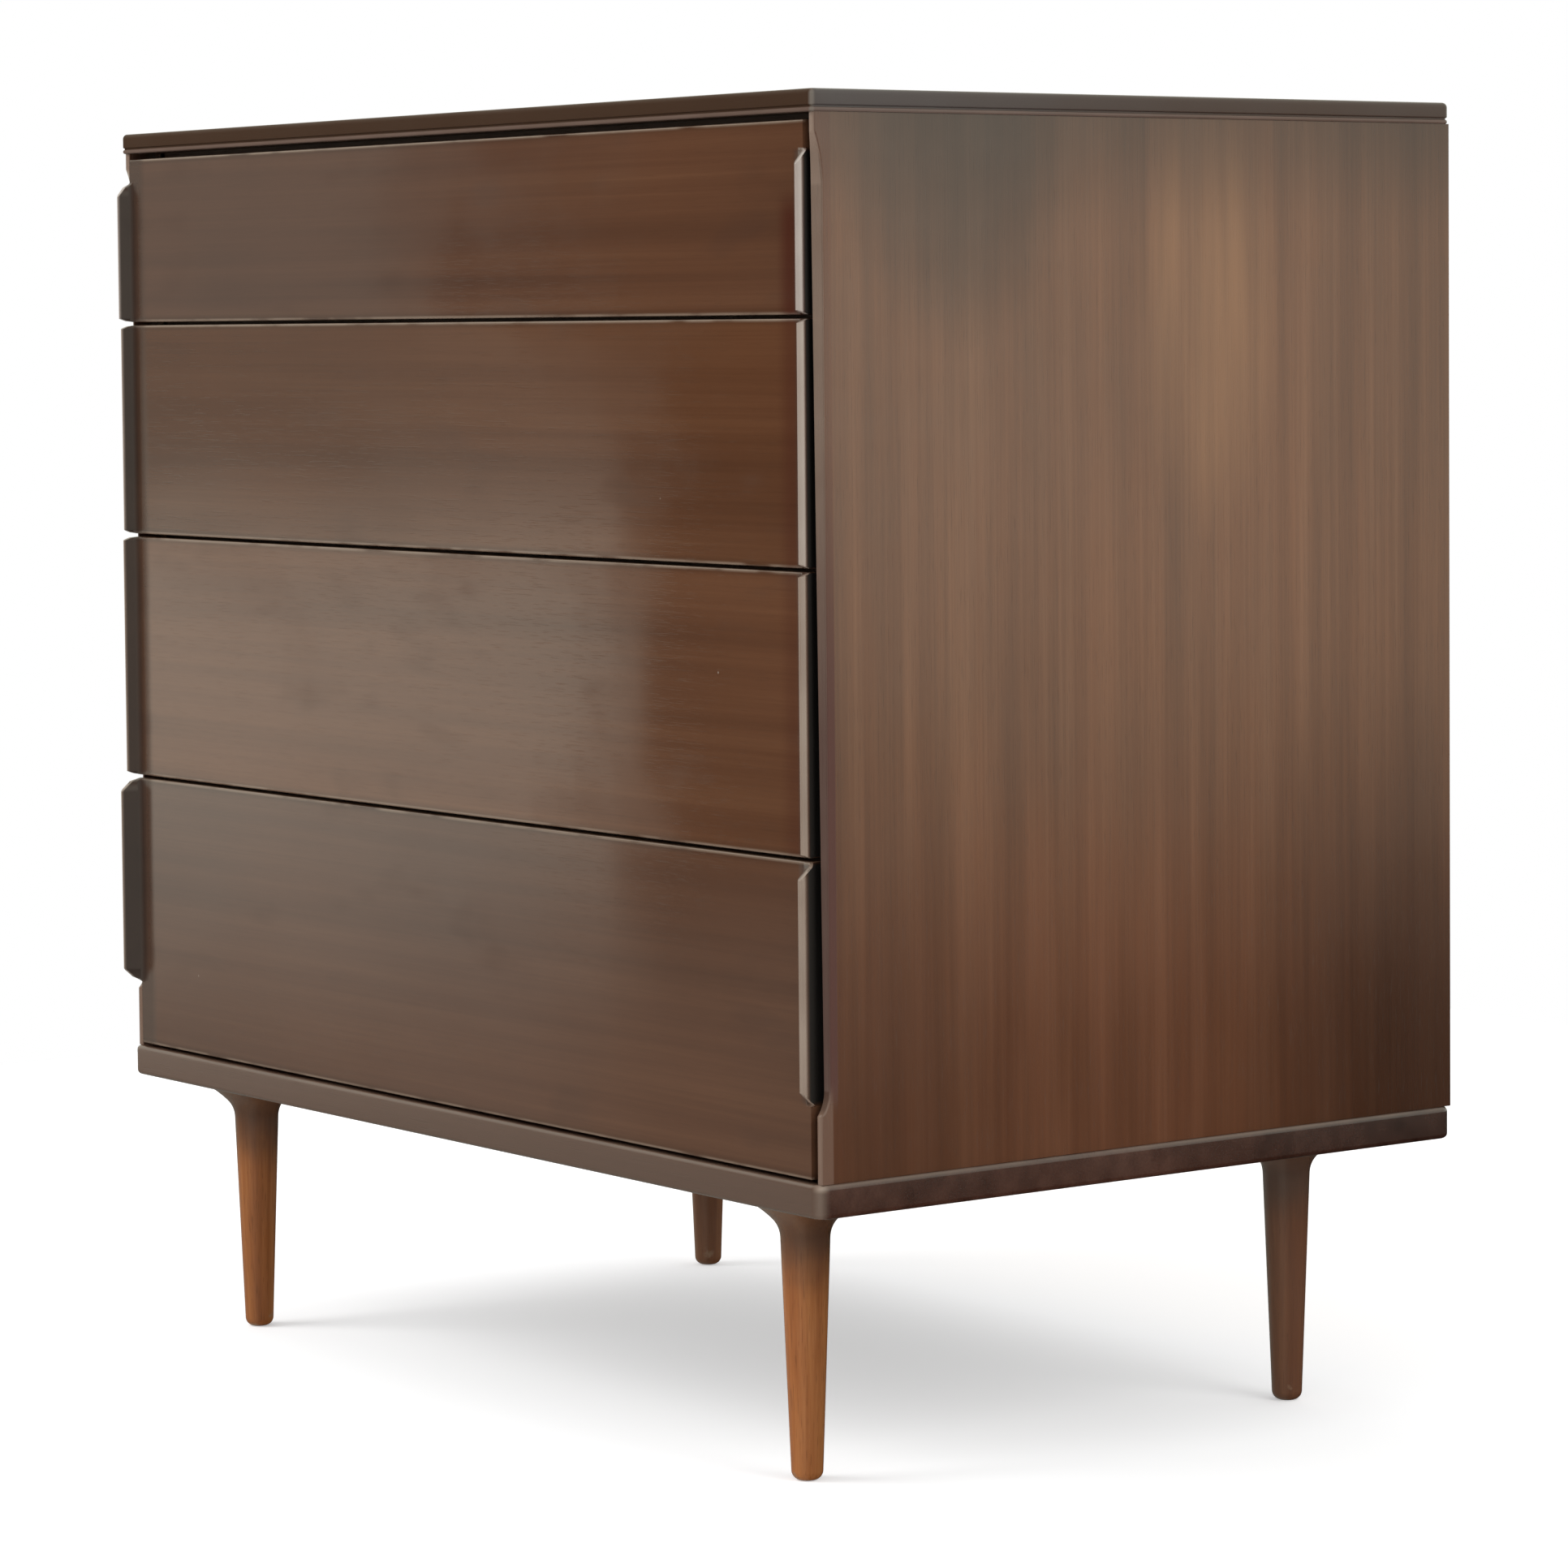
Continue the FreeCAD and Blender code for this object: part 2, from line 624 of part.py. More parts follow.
def dovetail(drawing, sign):
    """Plan of the sliding dovetail between a drawer side and the back of the front."""
    middle = wall_middle * sign
    mouth, root = size("dovetail_mouth") / 2, size("dovetail_root") / 2
    back = size("front_thickness")
    deep = back - size("dovetail_length")
    corners = [
        (middle - mouth, back),
        (middle - root, deep),
        (middle + root, deep),
        (middle + mouth, back),
    ]
    outline(drawing, corners)


def pin_places(number):
    """Heights of the pins' middles above the foot of the drawer back."""
    edge = size("pin_root") / 2 + size("overrun")
    first = size("floor_height") + size("floor_thickness") + edge
    last = box_height[number] - edge
    count = math.ceil((last - first).value / size("pin_pitch").value) + 1
    return spread(first, last, count)


def pins(drawing, number, rear):
    """Pins seen from the side: narrow at the rear face of the drawer back, wide at its front face."""
    narrow, wide = size("pin_mouth") / 2, size("pin_root") / 2
    front = rear - size("box_wall")
    for middle in pin_places(number):
        corners = [
            (front, middle - wide),
            (rear, middle - narrow),
            (rear, middle + narrow),
            (front, middle + wide),
        ]
        outline(drawing, corners)


def make_front(number):
    name = f"drawer_{number}_front"
    body = doc.addObject("PartDesign::Body", name)
    thick = size("front_thickness")
    drawing = sketch(body, f"{name}_plan", "XY_Plane")
    rectangle(drawing, -panel_half, panel_half, 0, thick)
    pad(body, drawing, faces[number])
    drawing = sketch(body, f"{name}_groove", "XZ_Plane", -thick)
    foot = floor_foot[number]
    rectangle(drawing, -panel_half, panel_half, foot, foot + size("floor_thickness"))
    pocket(body, drawing, size("floor_groove"), True)
    keep(body, name, 0, front_y, face_foot[number])


def lip_outline(number, sign):
    """Plan of a lipping: the hollow behind its pull, the slanted wall, the rounded edge and the cove."""
    inner, outer = panel_half, front_half
    thick = size("front_thickness")
    share = size("lip_run_share")
    slant = (share * share + 1).root()
    wall = size("lip_thickness")
    root_x = outer - size("lip_root")
    cove = size("lip_cove")
    tangent = cove * (slant - share)
    middle_x = root_x + wall / 2 / slant
    middle_y = -(wall / 2 * share / slant)
    climb = lips[number] - wall / 2 - middle_y
    centre_x = middle_x + climb * share
    centre_y = middle_y + climb
    aside, ahead = wall / 2 / slant, wall / 2 * share / slant
    hollow_x = outer - size("lip_hollow")
    hollow = size("hollow_radius")
    bend_x = hollow_x + hollow - hollow / slant
    bend_y = (bend_x - root_x - wall / slant) / share - wall * share / slant
    start_y = bend_y - hollow * share / slant
    return [
        (inner * sign, thick),
        (hollow_x * sign, thick),
        (hollow_x * sign, -start_y),
        (bend_x * sign, -bend_y, hollow, sign),
        ((centre_x + aside) * sign, -(centre_y - ahead)),
        ((centre_x + ahead) * sign, -(centre_y + aside), wall / 2, -sign),
        ((centre_x - aside) * sign, -(centre_y + ahead), wall / 2, -sign),
        ((root_x + tangent * share / slant) * sign, -(tangent / slant)),
        ((root_x - tangent) * sign, 0, cove, sign),
        (inner * sign, 0),
    ]


def make_lipping(number, side, sign):
    """Solid end of a drawer front. Its pull stands forward of the face and out past the front's end."""
    name = f"drawer_{number}_{side}_pull"
    body = doc.addObject("PartDesign::Body", name)
    height = faces[number]
    foot = size("flush_below") if number == DRAWERS[-1] else None
    head = height - size("flush_above") if number == DRAWERS[0] else None
    drawing = sketch(body, f"{name}_plan", "XY_Plane", foot)
    outline(drawing, lip_outline(number, sign))
    pad(body, drawing, (head or height) - (foot or 0))
    plain = []
    if foot:
        plain.append(("foot", None, foot))
    if head:
        plain.append(("head", head, height - head))
    for end, start, length in plain:
        drawing = sketch(body, f"{name}_{end}", "XY_Plane", start)
        rectangle(drawing, panel_half * sign, front_half * sign, 0, size("front_thickness"))
        pad(body, drawing, length)

    drawing = sketch(body, f"{name}_shoulders", "YZ_Plane", panel_half * sign)
    reach = lips[number] + size("overrun")
    low, high = foot or as_size(0), head or height
    head_slope = size("shoulder" if number in (DRAWERS[0], DRAWERS[-1]) else "corner_slope")
    foot_slope = size("shoulder" if foot else "corner_slope")
    outline(drawing, [(0, high), (-reach, high - head_slope * reach / lips[number]), (-reach, high)])
    outline(drawing, [(0, low), (-reach, low), (-reach, low + foot_slope * reach / lips[number])])
    pocket(body, drawing, size("lipping_width") + reach, sign > 0)

    drawing = sketch(body, f"{name}_dovetail", "XY_Plane")
    dovetail(drawing, sign)
    pocket(body, drawing, dovetail_head[number], True)
    keep(body, name, 0, front_y, face_foot[number])


def runner_groove(drawing, number, start):
    """Groove that the runner slides in, from start to past the drawer's rear end."""
    head = groove_head[number] - box_foot[number]
    foot = head - size("runner_height") - size("runner_gap") - size("runner_slack")
    rectangle(drawing, start, box_rear + size("overrun"), foot, head)


def make_drawer_side(number, side, sign):
    name = f"drawer_{number}_{side}_side"
    body = doc.addObject("PartDesign::Body", name)
    outer = box_half * sign
    inner = (box_half - size("box_wall")) * sign
    middle = wall_middle * sign
    mouth, root = size("dovetail_mouth") / 2 * sign, size("dovetail_root") / 2 * sign
    thick = size("front_thickness")
    deep = thick - size("dovetail_length")
    drawing = sketch(body, f"{name}_plan", "XY_Plane")
    corners = [
        (inner, thick),
        (middle - mouth, thick),
        (middle - root, deep),
        (middle + root, deep),
        (middle + mouth, thick),
        (outer, thick),
        (outer, box_rear),
        (inner, box_rear),
    ]
    outline(drawing, corners)
    pad(body, drawing, box_height[number])

    drawing = sketch(body, f"{name}_runner_groove", "YZ_Plane", outer)
    runner_groove(drawing, number, runner_front - size("runner_slack"))
    pocket(body, drawing, runner_groove_depth, sign < 0)

    drawing = sketch(body, f"{name}_floor_groove", "YZ_Plane", inner)
    foot = size("floor_height")
    rectangle(drawing, thick, box_rear + size("overrun"), foot, foot + size("floor_thickness"))
    pocket(body, drawing, size("floor_groove"), sign > 0)

    drawing = sketch(body, f"{name}_tails", "YZ_Plane", outer)
    pins(drawing, number, box_rear)
    pocket(body, drawing, size("box_wall"), sign < 0)
    keep(body, name, 0, front_y, box_foot[number])


def make_drawer_back(number):
    """Back of a drawer, over its bottom board, with pins that go through the sides' ends."""
    name = f"drawer_{number}_back"
    body = doc.addObject("PartDesign::Body", name)
    foot = size("floor_height") + size("floor_thickness")
    reach = box_half - size("box_wall")
    drawing = sketch(body, f"{name}_board", "XZ_Plane", -box_rear)
    rectangle(drawing, -reach, reach, foot, box_height[number])
    pad(body, drawing, size("box_wall"))
    for start, label in ((reach, "right"), (-box_half, "left")):
        drawing = sketch(body, f"{name}_{label}_pins", "YZ_Plane", start)
        pins(drawing, number, box_rear)
        pad(body, drawing, size("box_wall"))
    for side, sign in SIDES.items():
        drawing = sketch(body, f"{name}_{side}_groove", "YZ_Plane", box_half * sign)
        runner_groove(drawing, number, box_rear - size("box_wall") - size("overrun"))
        pocket(body, drawing, runner_groove_depth, sign < 0)
    drawing = sketch(body, f"{name}_screw_holes", "XY_Plane", foot)
    ys = box_rear - size("box_wall") / 2
    circles(drawing, [(x, ys) for x in floor_screw_xs], screw_hole)
    pocket(body, drawing, size("screw_length") - size("floor_thickness"), True)
    keep(body, name, 0, front_y, box_foot[number])


def make_drawer_floor(number):
    name = f"drawer_{number}_bottom"
    body = doc.addObject("PartDesign::Body", name)
    front = size("front_thickness") - size("floor_groove")
    drawing = sketch(body, f"{name}_plan", "XY_Plane")
    thick = size("front_thickness")
    corners = [
        (-panel_half, front),
        (panel_half, front),
        (panel_half, thick),
        (floor_half, thick),
        (floor_half, box_rear),
        (-floor_half, box_rear),
        (-floor_half, thick),
        (-panel_half, thick),
    ]
    outline(drawing, corners)
    pad(body, drawing, size("floor_thickness"))
    drawing = sketch(body, f"{name}_screw_holes", "XY_Plane")
    circles(drawing, [(x, box_rear - size("box_wall") / 2) for x in floor_screw_xs], screw_hole)
    pocket(body, drawing, size("floor_thickness"), True)
    keep(body, name, 0, front_y, box_foot[number] + size("floor_height"))
    seats = [
        (x, front_y + box_rear - size("box_wall") / 2, box_foot[number] + size("floor_height"), (0, 0, 1))
        for x in floor_screw_xs
    ]
    make_screws(f"drawer_{number}_screws", seats)


def check_document():
    """Stops if a feature failed or a cut removed nothing."""
    for item in doc.Objects:
        if "Invalid" in item.State or "Error" in item.State:
            raise RuntimeError(f"{item.Name} is {item.State}")
        if item.TypeId == "PartDesign::Pocket" and item.Shape.Volume >= item.BaseFeature.Shape.Volume:
            raise RuntimeError(f"{item.Name} cuts nothing")
    for item in parts:
        if item.Shape.isNull() or not item.Shape.isValid():
            raise RuntimeError(f"{item.Label} has no valid shape")


make_top()
make_base()
make_back()
make_rails()
for side, sign in SIDES.items():
    make_side(side, sign)
    for number in DRAWERS:
        make_runner(number, side, sign)
for (side, x, y), row in zip(leg_places, ("front", "rear") * len(SIDES)):
    make_leg(f"{row}_{side}_leg", x, y)
make_bolts_and_dowels()
make_case_screws()
for number in DRAWERS:
    make_front(number)
    make_drawer_back(number)
    make_drawer_floor(number)
    for side, sign in SIDES.items():
        make_lipping(number, side, sign)
        make_drawer_side(number, side, sign)

doc.recompute()
check_document()
os.makedirs("parts", exist_ok=True)
for item in parts:
    item.Shape.exportStep(f"parts/{item.Label}.step")
print(len(parts), "sub-parts")
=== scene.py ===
import math
import bmesh
import bpy
from mathutils import Matrix, Vector


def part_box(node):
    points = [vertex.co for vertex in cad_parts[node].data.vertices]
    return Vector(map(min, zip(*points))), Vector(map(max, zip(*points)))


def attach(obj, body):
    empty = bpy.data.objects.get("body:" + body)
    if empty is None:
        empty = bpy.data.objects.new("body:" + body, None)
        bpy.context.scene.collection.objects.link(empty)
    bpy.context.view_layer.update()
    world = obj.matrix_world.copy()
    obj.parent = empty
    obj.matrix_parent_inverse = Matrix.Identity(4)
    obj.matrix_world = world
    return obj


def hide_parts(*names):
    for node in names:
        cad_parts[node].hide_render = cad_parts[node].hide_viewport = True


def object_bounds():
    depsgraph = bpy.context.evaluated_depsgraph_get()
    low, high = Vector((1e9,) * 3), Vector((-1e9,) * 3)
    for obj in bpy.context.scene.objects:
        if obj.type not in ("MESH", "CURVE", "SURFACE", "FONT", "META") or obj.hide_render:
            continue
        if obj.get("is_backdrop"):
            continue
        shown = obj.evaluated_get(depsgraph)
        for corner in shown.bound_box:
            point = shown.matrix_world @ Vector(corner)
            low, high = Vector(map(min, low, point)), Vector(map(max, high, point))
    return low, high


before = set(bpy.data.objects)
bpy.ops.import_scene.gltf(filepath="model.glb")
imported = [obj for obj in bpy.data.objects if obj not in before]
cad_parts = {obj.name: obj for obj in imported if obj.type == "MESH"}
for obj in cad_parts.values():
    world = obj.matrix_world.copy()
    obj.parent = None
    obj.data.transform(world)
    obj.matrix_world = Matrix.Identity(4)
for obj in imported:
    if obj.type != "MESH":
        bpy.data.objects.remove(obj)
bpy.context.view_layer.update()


# Base panel: one veneered board that carries the case, a little wider than it, with rounded corners and
# edges. It is stained like the case and lacquered. Its front face is painted lighter and greyer as a painted
# sheen, it is painted darker towards the back as painted shade, its top arris is pale in patches from wear
# and a painted highlight, and its front right corner carries a painted highlight. The grain runs along the
# chest.
class Amount:
    """A number that changes over a surface, used in ordinary sums."""

    def __init__(self, tree, socket):
        self.tree = tree
        self.socket = socket

    def worked(self, operation, *values):
        made = self.tree.nodes.new("ShaderNodeMath")
        made.operation = operation
        for place, value in enumerate(values):
            if isinstance(value, Amount):
                self.tree.links.new(value.socket, made.inputs[place])
            else:
                made.inputs[place].default_value = value
        return Amount(self.tree, made.outputs[0])

    def __add__(self, other):
        return self.worked("ADD", self, other)

    def __sub__(self, other):
        return self.worked("SUBTRACT", self, other)

    def __rsub__(self, other):
        return self.worked("SUBTRACT", other, self)

    def __mul__(self, other):
        return self.worked("MULTIPLY", self, other)

    def __pow__(self, other):
        return self.worked("POWER", self, other)

    def __abs__(self):
        return self.worked("ABSOLUTE", self)

    def most(self, other):
        return self.worked("MAXIMUM", self, other)

    def least(self, other):
        return self.worked("MINIMUM", self, other)

    def rise(self, low, high):
        """0 below low, 1 above high and smooth between them."""
        made = self.tree.nodes.new("ShaderNodeMapRange")
        made.interpolation_type = "SMOOTHSTEP"
        self.tree.links.new(self.socket, made.inputs["Value"])
        made.inputs["From Min"].default_value = low
        made.inputs["From Max"].default_value = high
        return Amount(self.tree, made.outputs["Result"])

    __radd__ = __add__
    __rmul__ = __mul__


class Bench:
    """A node tree with short ways to add to it."""

    def __init__(self, tree):
        self.tree = tree

    def node(self, kind, settings=None, sockets=None):
        made = self.tree.nodes.new(kind)
        for name, value in (settings or {}).items():
            if name == "stops":
                while len(made.color_ramp.elements) < len(value):
                    made.color_ramp.elements.new(1)
                for stop, (place, colour) in zip(made.color_ramp.elements, value):
                    stop.position = place
                    stop.color = (*colour, 1)
            else:
                setattr(made, name, value)
        for name, value in (sockets or {}).items():
            if isinstance(value, Amount):
                self.tree.links.new(value.socket, made.inputs[name])
            elif isinstance(value, bpy.types.NodeSocket):
                self.tree.links.new(value, made.inputs[name])
            else:
                made.inputs[name].default_value = value
        return made

    def amount(self, kind, settings=None, sockets=None, output=0):
        return Amount(self.tree, self.node(kind, settings, sockets).outputs[output])

    def apart(self, vector):
        """The three numbers of a vector."""
        split = self.node("ShaderNodeSeparateXYZ", None, {"Vector": vector})
        return [Amount(self.tree, split.outputs[axis]) for axis in "XYZ"]

    def blend(self, share, first, second):
        """Colour that goes from first to second as share goes from 0 to 1."""
        made = self.node("ShaderNodeMix", {"data_type": "RGBA"}, {"Factor": share})
        for name, colour in (("A", first), ("B", second)):
            socket = next(s for s in made.inputs if s.name == name and s.type == "RGBA")
            if isinstance(colour, bpy.types.NodeSocket):
                self.tree.links.new(colour, socket)
            else:
                socket.default_value = (*colour, 1)
        return next(s for s in made.outputs if s.type == "RGBA")


class Timber(Bench):
    """A new wood finish: the place on the piece, the way of the grain, and the colour so far."""

    def __init__(self, name, along, seed):
        self.material = bpy.data.materials.new(name)
        self.material.use_nodes = True
        super().__init__(self.material.node_tree)
        self.tree.nodes.clear()
        self.along = "xyz".index(along)
        self.seed = seed
        self.place = self.node("ShaderNodeTexCoord").outputs["Object"]
        self.x, self.y, self.z = self.apart(self.place)

    def figure(self, length, width, detail=2, rough=0.5, shift=0.0):
        """Noise drawn out along the grain. The two sizes are those of one mark, in metres."""
        scale = [1 / width] * 3
        scale[self.along] = 1 / length
        start = (self.seed + shift, self.seed * 1.7 + shift, self.seed * 0.6 - shift)
        mapping = {"Vector": self.place, "Scale": scale, "Location": start}
        placed = self.node("ShaderNodeMapping", None, mapping)
        sockets = {"Vector": placed.outputs[0], "Scale": 1.0, "Detail": detail, "Roughness": rough}
        return self.amount("ShaderNodeTexNoise", None, sockets)

    def cloud(self, width, detail=2, shift=0.0):
        """Noise with no direction. The width is that of one mark, in metres."""
        start = (self.seed * 2.1 + shift, shift, self.seed)
        placed = self.node("ShaderNodeMapping", None, {"Vector": self.place, "Location": start})
        sockets = {"Vector": placed.outputs[0], "Scale": 1 / width, "Detail": detail, "Roughness": 0.5}
        return self.amount("ShaderNodeTexNoise", None, sockets)

    def attribute(self, name):
        return self.amount("ShaderNodeAttribute", {"attribute_name": name}, None, "Fac")

    def grow(self, colours, stripes, lines, pores):
        """The wood's colour from its figure. stripes, lines and pores say how much of each shows."""
        broad = self.figure(1.3, 0.05, 1, shift=3.1)
        stripe = self.figure(0.8, 0.013, 2, shift=7.7)
        line = self.figure(0.22, 0.0018, 3, 0.6, shift=1.3)
        self.pore = self.figure(0.02, 0.0006, 1, shift=5.2).rise(0.6, 0.72)
        tone = ((broad - 0.5) * 0.7 + (stripe - 0.5)) * stripes + (line - 0.5) * lines + 0.5
        stops = [(0.2, colours[0]), (0.5, colours[1]), (0.8, colours[2])]
        colour = self.node("ShaderNodeValToRGB", {"stops": stops}, {"Fac": tone}).outputs["Color"]
        self.colour = self.blend(self.pore * pores, colour, [c * 0.35 for c in colours[0]])
        self.line = line

    def stain(self, share, colour):
        """Takes the colour so far towards another, all the way where share is 1."""
        self.colour = self.blend(share, self.colour, colour)

    def shade(self, share):
        """Makes the colour so far darker where share is below 1."""
        sockets = {0: self.colour, "Scale": share}
        self.colour = self.node("ShaderNodeVectorMath", {"operation": "SCALE"}, sockets).outputs[0]

    def lacquer(self, roughness, wave, level=0.5, relief=1.0):
        """The finished surface. wave is how far the ground under the lacquer rises and falls, in metres."""
        line_height, pore_depth = 0.000012, 0.00003
        height = (self.line - 0.5) * line_height * relief - self.pore * pore_depth * relief
        if wave:
            height = height + self.cloud(0.16, 1, 4.4) * wave
        bump = self.node("ShaderNodeBump", None, {"Strength": 1.0, "Distance": 1.0, "Height": height})
        sockets = {
            "Base Color": self.colour,
            "Roughness": roughness,
            "Specular IOR Level": level,
            "IOR": 1.6,
            "Normal": bump.outputs[0],
        }
        coat = self.node("ShaderNodeBsdfPrincipled", None, sockets)
        self.node("ShaderNodeOutputMaterial", None, {"Surface": coat.outputs[0]})
        return self.material


def new_mesh(name, corners, sides, marks=None):
    """A closed mesh with its faces outwards, smooth but for its real edges. marks are numbers per corner."""
    data = bpy.data.meshes.new(name)
    shape = bmesh.new()
    made = [shape.verts.new(c) for c in corners]
    for side in sides:
        shape.faces.new([made[i] for i in side])
    bmesh.ops.recalc_face_normals(shape, faces=shape.faces)
    shape.to_mesh(data)
    shape.free()
    for mark, values in (marks or {}).items():
        data.attributes.new(mark, "FLOAT", "POINT").data.foreach_set("value", values)
    data.shade_smooth()
    data.set_sharp_from_angle(angle=math.radians(32))
    piece = bpy.data.objects.new(name, data)
    bpy.context.collection.objects.link(piece)
    weigh = piece.modifiers.new("even_light", "WEIGHTED_NORMAL")
    weigh.keep_sharp = True
    return piece


def loft(name, rings, marks=None):
    """Closed solid through rings of equally many points, with flat ends."""
    count = len(rings[0])
    corners = [point for ring in rings for point in ring]
    sides = []
    for level in range(len(rings) - 1):
        for i in range(count):
            j = (i + 1) % count
            a, b = level * count, (level + 1) * count
            sides.append((a + i, a + j, b + j, b + i))
    sides.append(range(count))
    sides.append(range((len(rings) - 1) * count, len(rings) * count))
    return new_mesh(name, corners, sides, marks)


least_radius = 0.0003


def board_outline(low, high, radius, z, inset, steps=6):
    """Outline of a board with rounded corners at one height, drawn in by inset."""
    low_x, high_x = low.x + inset, high.x - inset
    low_y, high_y = low.y + inset, high.y - inset
    radius = max(radius - inset, least_radius)
    centres = (
        (high_x - radius, low_y + radius, -90),
        (high_x - radius, high_y - radius, 0),
        (low_x + radius, high_y - radius, 90),
        (low_x + radius, low_y + radius, 180),
    )
    ring = []
    for across, back, start in centres:
        for step in range(steps + 1):
            angle = math.radians(start + 90 * step / steps)
            ring.append((across + radius * math.cos(angle), back + radius * math.sin(angle), z))
    return ring


def quarter(radius, steps=5):
    """(inset, rise) pairs of a rounded edge, from its inset end out to the full outline."""
    turns = [math.radians(90 * step / steps) for step in range(steps + 1)]
    return [(radius * (1 - math.sin(turn)), radius * (1 - math.cos(turn))) for turn in turns]


right_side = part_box("right_side_panel")
half_width = right_side[1].x
side_front, back_y = right_side[0].y, right_side[1].y
side_setback = 0.0015
front_y = side_front - side_setback

base_low, base_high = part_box("base_panel")
panel_arris, base_corner = 0.003, 0.008
levels = [(inset, base_low.z + rise) for inset, rise in quarter(panel_arris)]
levels += [(inset, base_high.z - rise) for inset, rise in reversed(quarter(panel_arris))]
base = loft("base_board", [board_outline(base_low, base_high, base_corner, z, inset) for inset, z in levels])
band = Timber("base_band", "x", 4.0)
band.grow(((0.034, 0.012, 0.007), (0.054, 0.021, 0.013), (0.08, 0.034, 0.022)), 0.8, 0.5, 0.4)
# The front face is painted lighter and greyer: a painted sheen.
facing_front = 1 - (band.y - base_low.y).rise(0.001, 0.006)
band.stain(facing_front * 0.75, (0.125, 0.078, 0.055))
# Darker towards the back: painted shade.
band.shade(1 - band.y.rise(0.0, 0.23) * 0.4)
# Paler along the top arris in patches: wear and a painted highlight.
rubbed_and_sheen = (band.z - base_high.z).rise(-0.0026, -0.0008) * band.cloud(0.05, 2).rise(0.3, 0.6)
band.stain(rubbed_and_sheen * 0.55, (0.16, 0.1, 0.07))
# A painted highlight on the front right corner, strongest towards the top.
corner = (band.x - base_high.x).rise(-0.008, -0.002) * (base_low.y - band.y).rise(-0.008, -0.002)
upper = (band.z - base_high.z).rise(-0.005, -0.002) * 0.6 + 0.25
band.stain(corner * upper, (0.34, 0.26, 0.2))
base.data.materials.append(band.lacquer(band.cloud(0.07) * 0.12 + 0.14, 0.0004))
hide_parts("base_panel")
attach(base, "case")


# Legs: turned from solid hardwood, a straight taper with a round foot and a head that flares out to meet
# the base panel. They are orange-brown, darkened at the head by a painted shadow. The rear ones are painted
# darker and greyer as painted shade, and the right front one is painted lighter on its left half and darker
# on its right, as painted light and shade. A steel bolt holds each one.
def curve(across, up, radius, start, end, steps):
    """Points of an arc about (across, up), between two angles in degrees."""
    turns = [math.radians(start + (end - start) * step / steps) for step in range(steps + 1)]
    return [(across + radius * math.cos(turn), up + radius * math.sin(turn)) for turn in turns]


foot_radius, foot_round, knee_radius, flare_radius = 0.009, 0.0055, 0.014, 0.033
throat, flare_height, rim_height = 0.016, 0.024, 0.0015
knee_z, rim_z = base_low.z - flare_height, base_low.z - rim_height
profile = curve(foot_radius - foot_round, foot_round, foot_round, -90, 0, 10)
for share in (0.2, 0.4, 0.6, 0.8, 0.97):
    taper = foot_radius + (knee_radius - foot_radius) * share
    profile.append((taper, foot_round + (knee_z - foot_round) * share))
profile += curve(knee_radius + throat, knee_z, throat, 180, 135, 8)
bend_r, bend_z = profile[-1]
out, climb = flare_radius - bend_r, rim_z - bend_z
bell = (out**2 + climb**2) / (math.sqrt(2) * (out - climb))
bell_r, bell_z = bend_r + bell * math.sqrt(0.5), bend_z - bell * math.sqrt(0.5)
bell_end = math.degrees(math.atan2(rim_z - bell_z, flare_radius - bell_r))
profile += curve(bell_r, bell_z, bell, 135, bell_end, 10)[1:]
profile.append((flare_radius, base_low.z))

turned = Timber("leg_wood", "z", 2.3)
turned.grow(((0.19, 0.056, 0.015), (0.3, 0.1, 0.026), (0.42, 0.165, 0.05)), 1.1, 0.5, 0.35)
# Darker at the head, under the base panel: a painted shadow.
head_shadow = (turned.z + (turned.cloud(0.03) - 0.5) * 0.03).rise(0.098, 0.142)
turned.stain(head_shadow * 0.86, (0.085, 0.043, 0.025))
# The right front leg is painted lighter on its left half and darker on its right: painted light and shade.
axis_x, axis_y = 0.2975, -0.183
right_half = ((turned.x - axis_x) * 0.59 + (turned.y - axis_y) * 0.81).rise(-0.009, 0.01)
right_front = turned.x.rise(0.0, 0.1) * (1 - turned.y.rise(0.0, 0.1))
turned.shade((0.22 - right_half * 0.46) * right_front + 1)
# The rear legs are painted darker and greyer: painted shade.
rear = turned.y.rise(0.1, 0.16)
turned.stain(rear * 0.6, (0.1, 0.056, 0.037))
scuffed = turned.cloud(0.012, 3, 2.0).rise(0.6, 0.7) * (1 - turned.z.rise(0.004, 0.02))
turned.stain(scuffed * 0.6, (0.3, 0.2, 0.12))
leg_wood = turned.lacquer(turned.cloud(0.04) * 0.14 + 0.17, 0)
turns = [math.tau * step / 64 for step in range(64)]
for row in ("front", "rear"):
    for side in ("left", "right"):
        low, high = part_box(f"{row}_{side}_leg")
        middle = (low + high) / 2
        rings = []
        for radius, z in profile:
            around = [(middle.x + radius * math.cos(t), middle.y + radius * math.sin(t)) for t in turns]
            rings.append([(across, back, z) for across, back in around])
        leg = loft(f"{row}_{side}_turned_leg", rings)
        leg.data.materials.append(leg_wood)
        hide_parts(f"{row}_{side}_leg")
        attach(leg, "case")


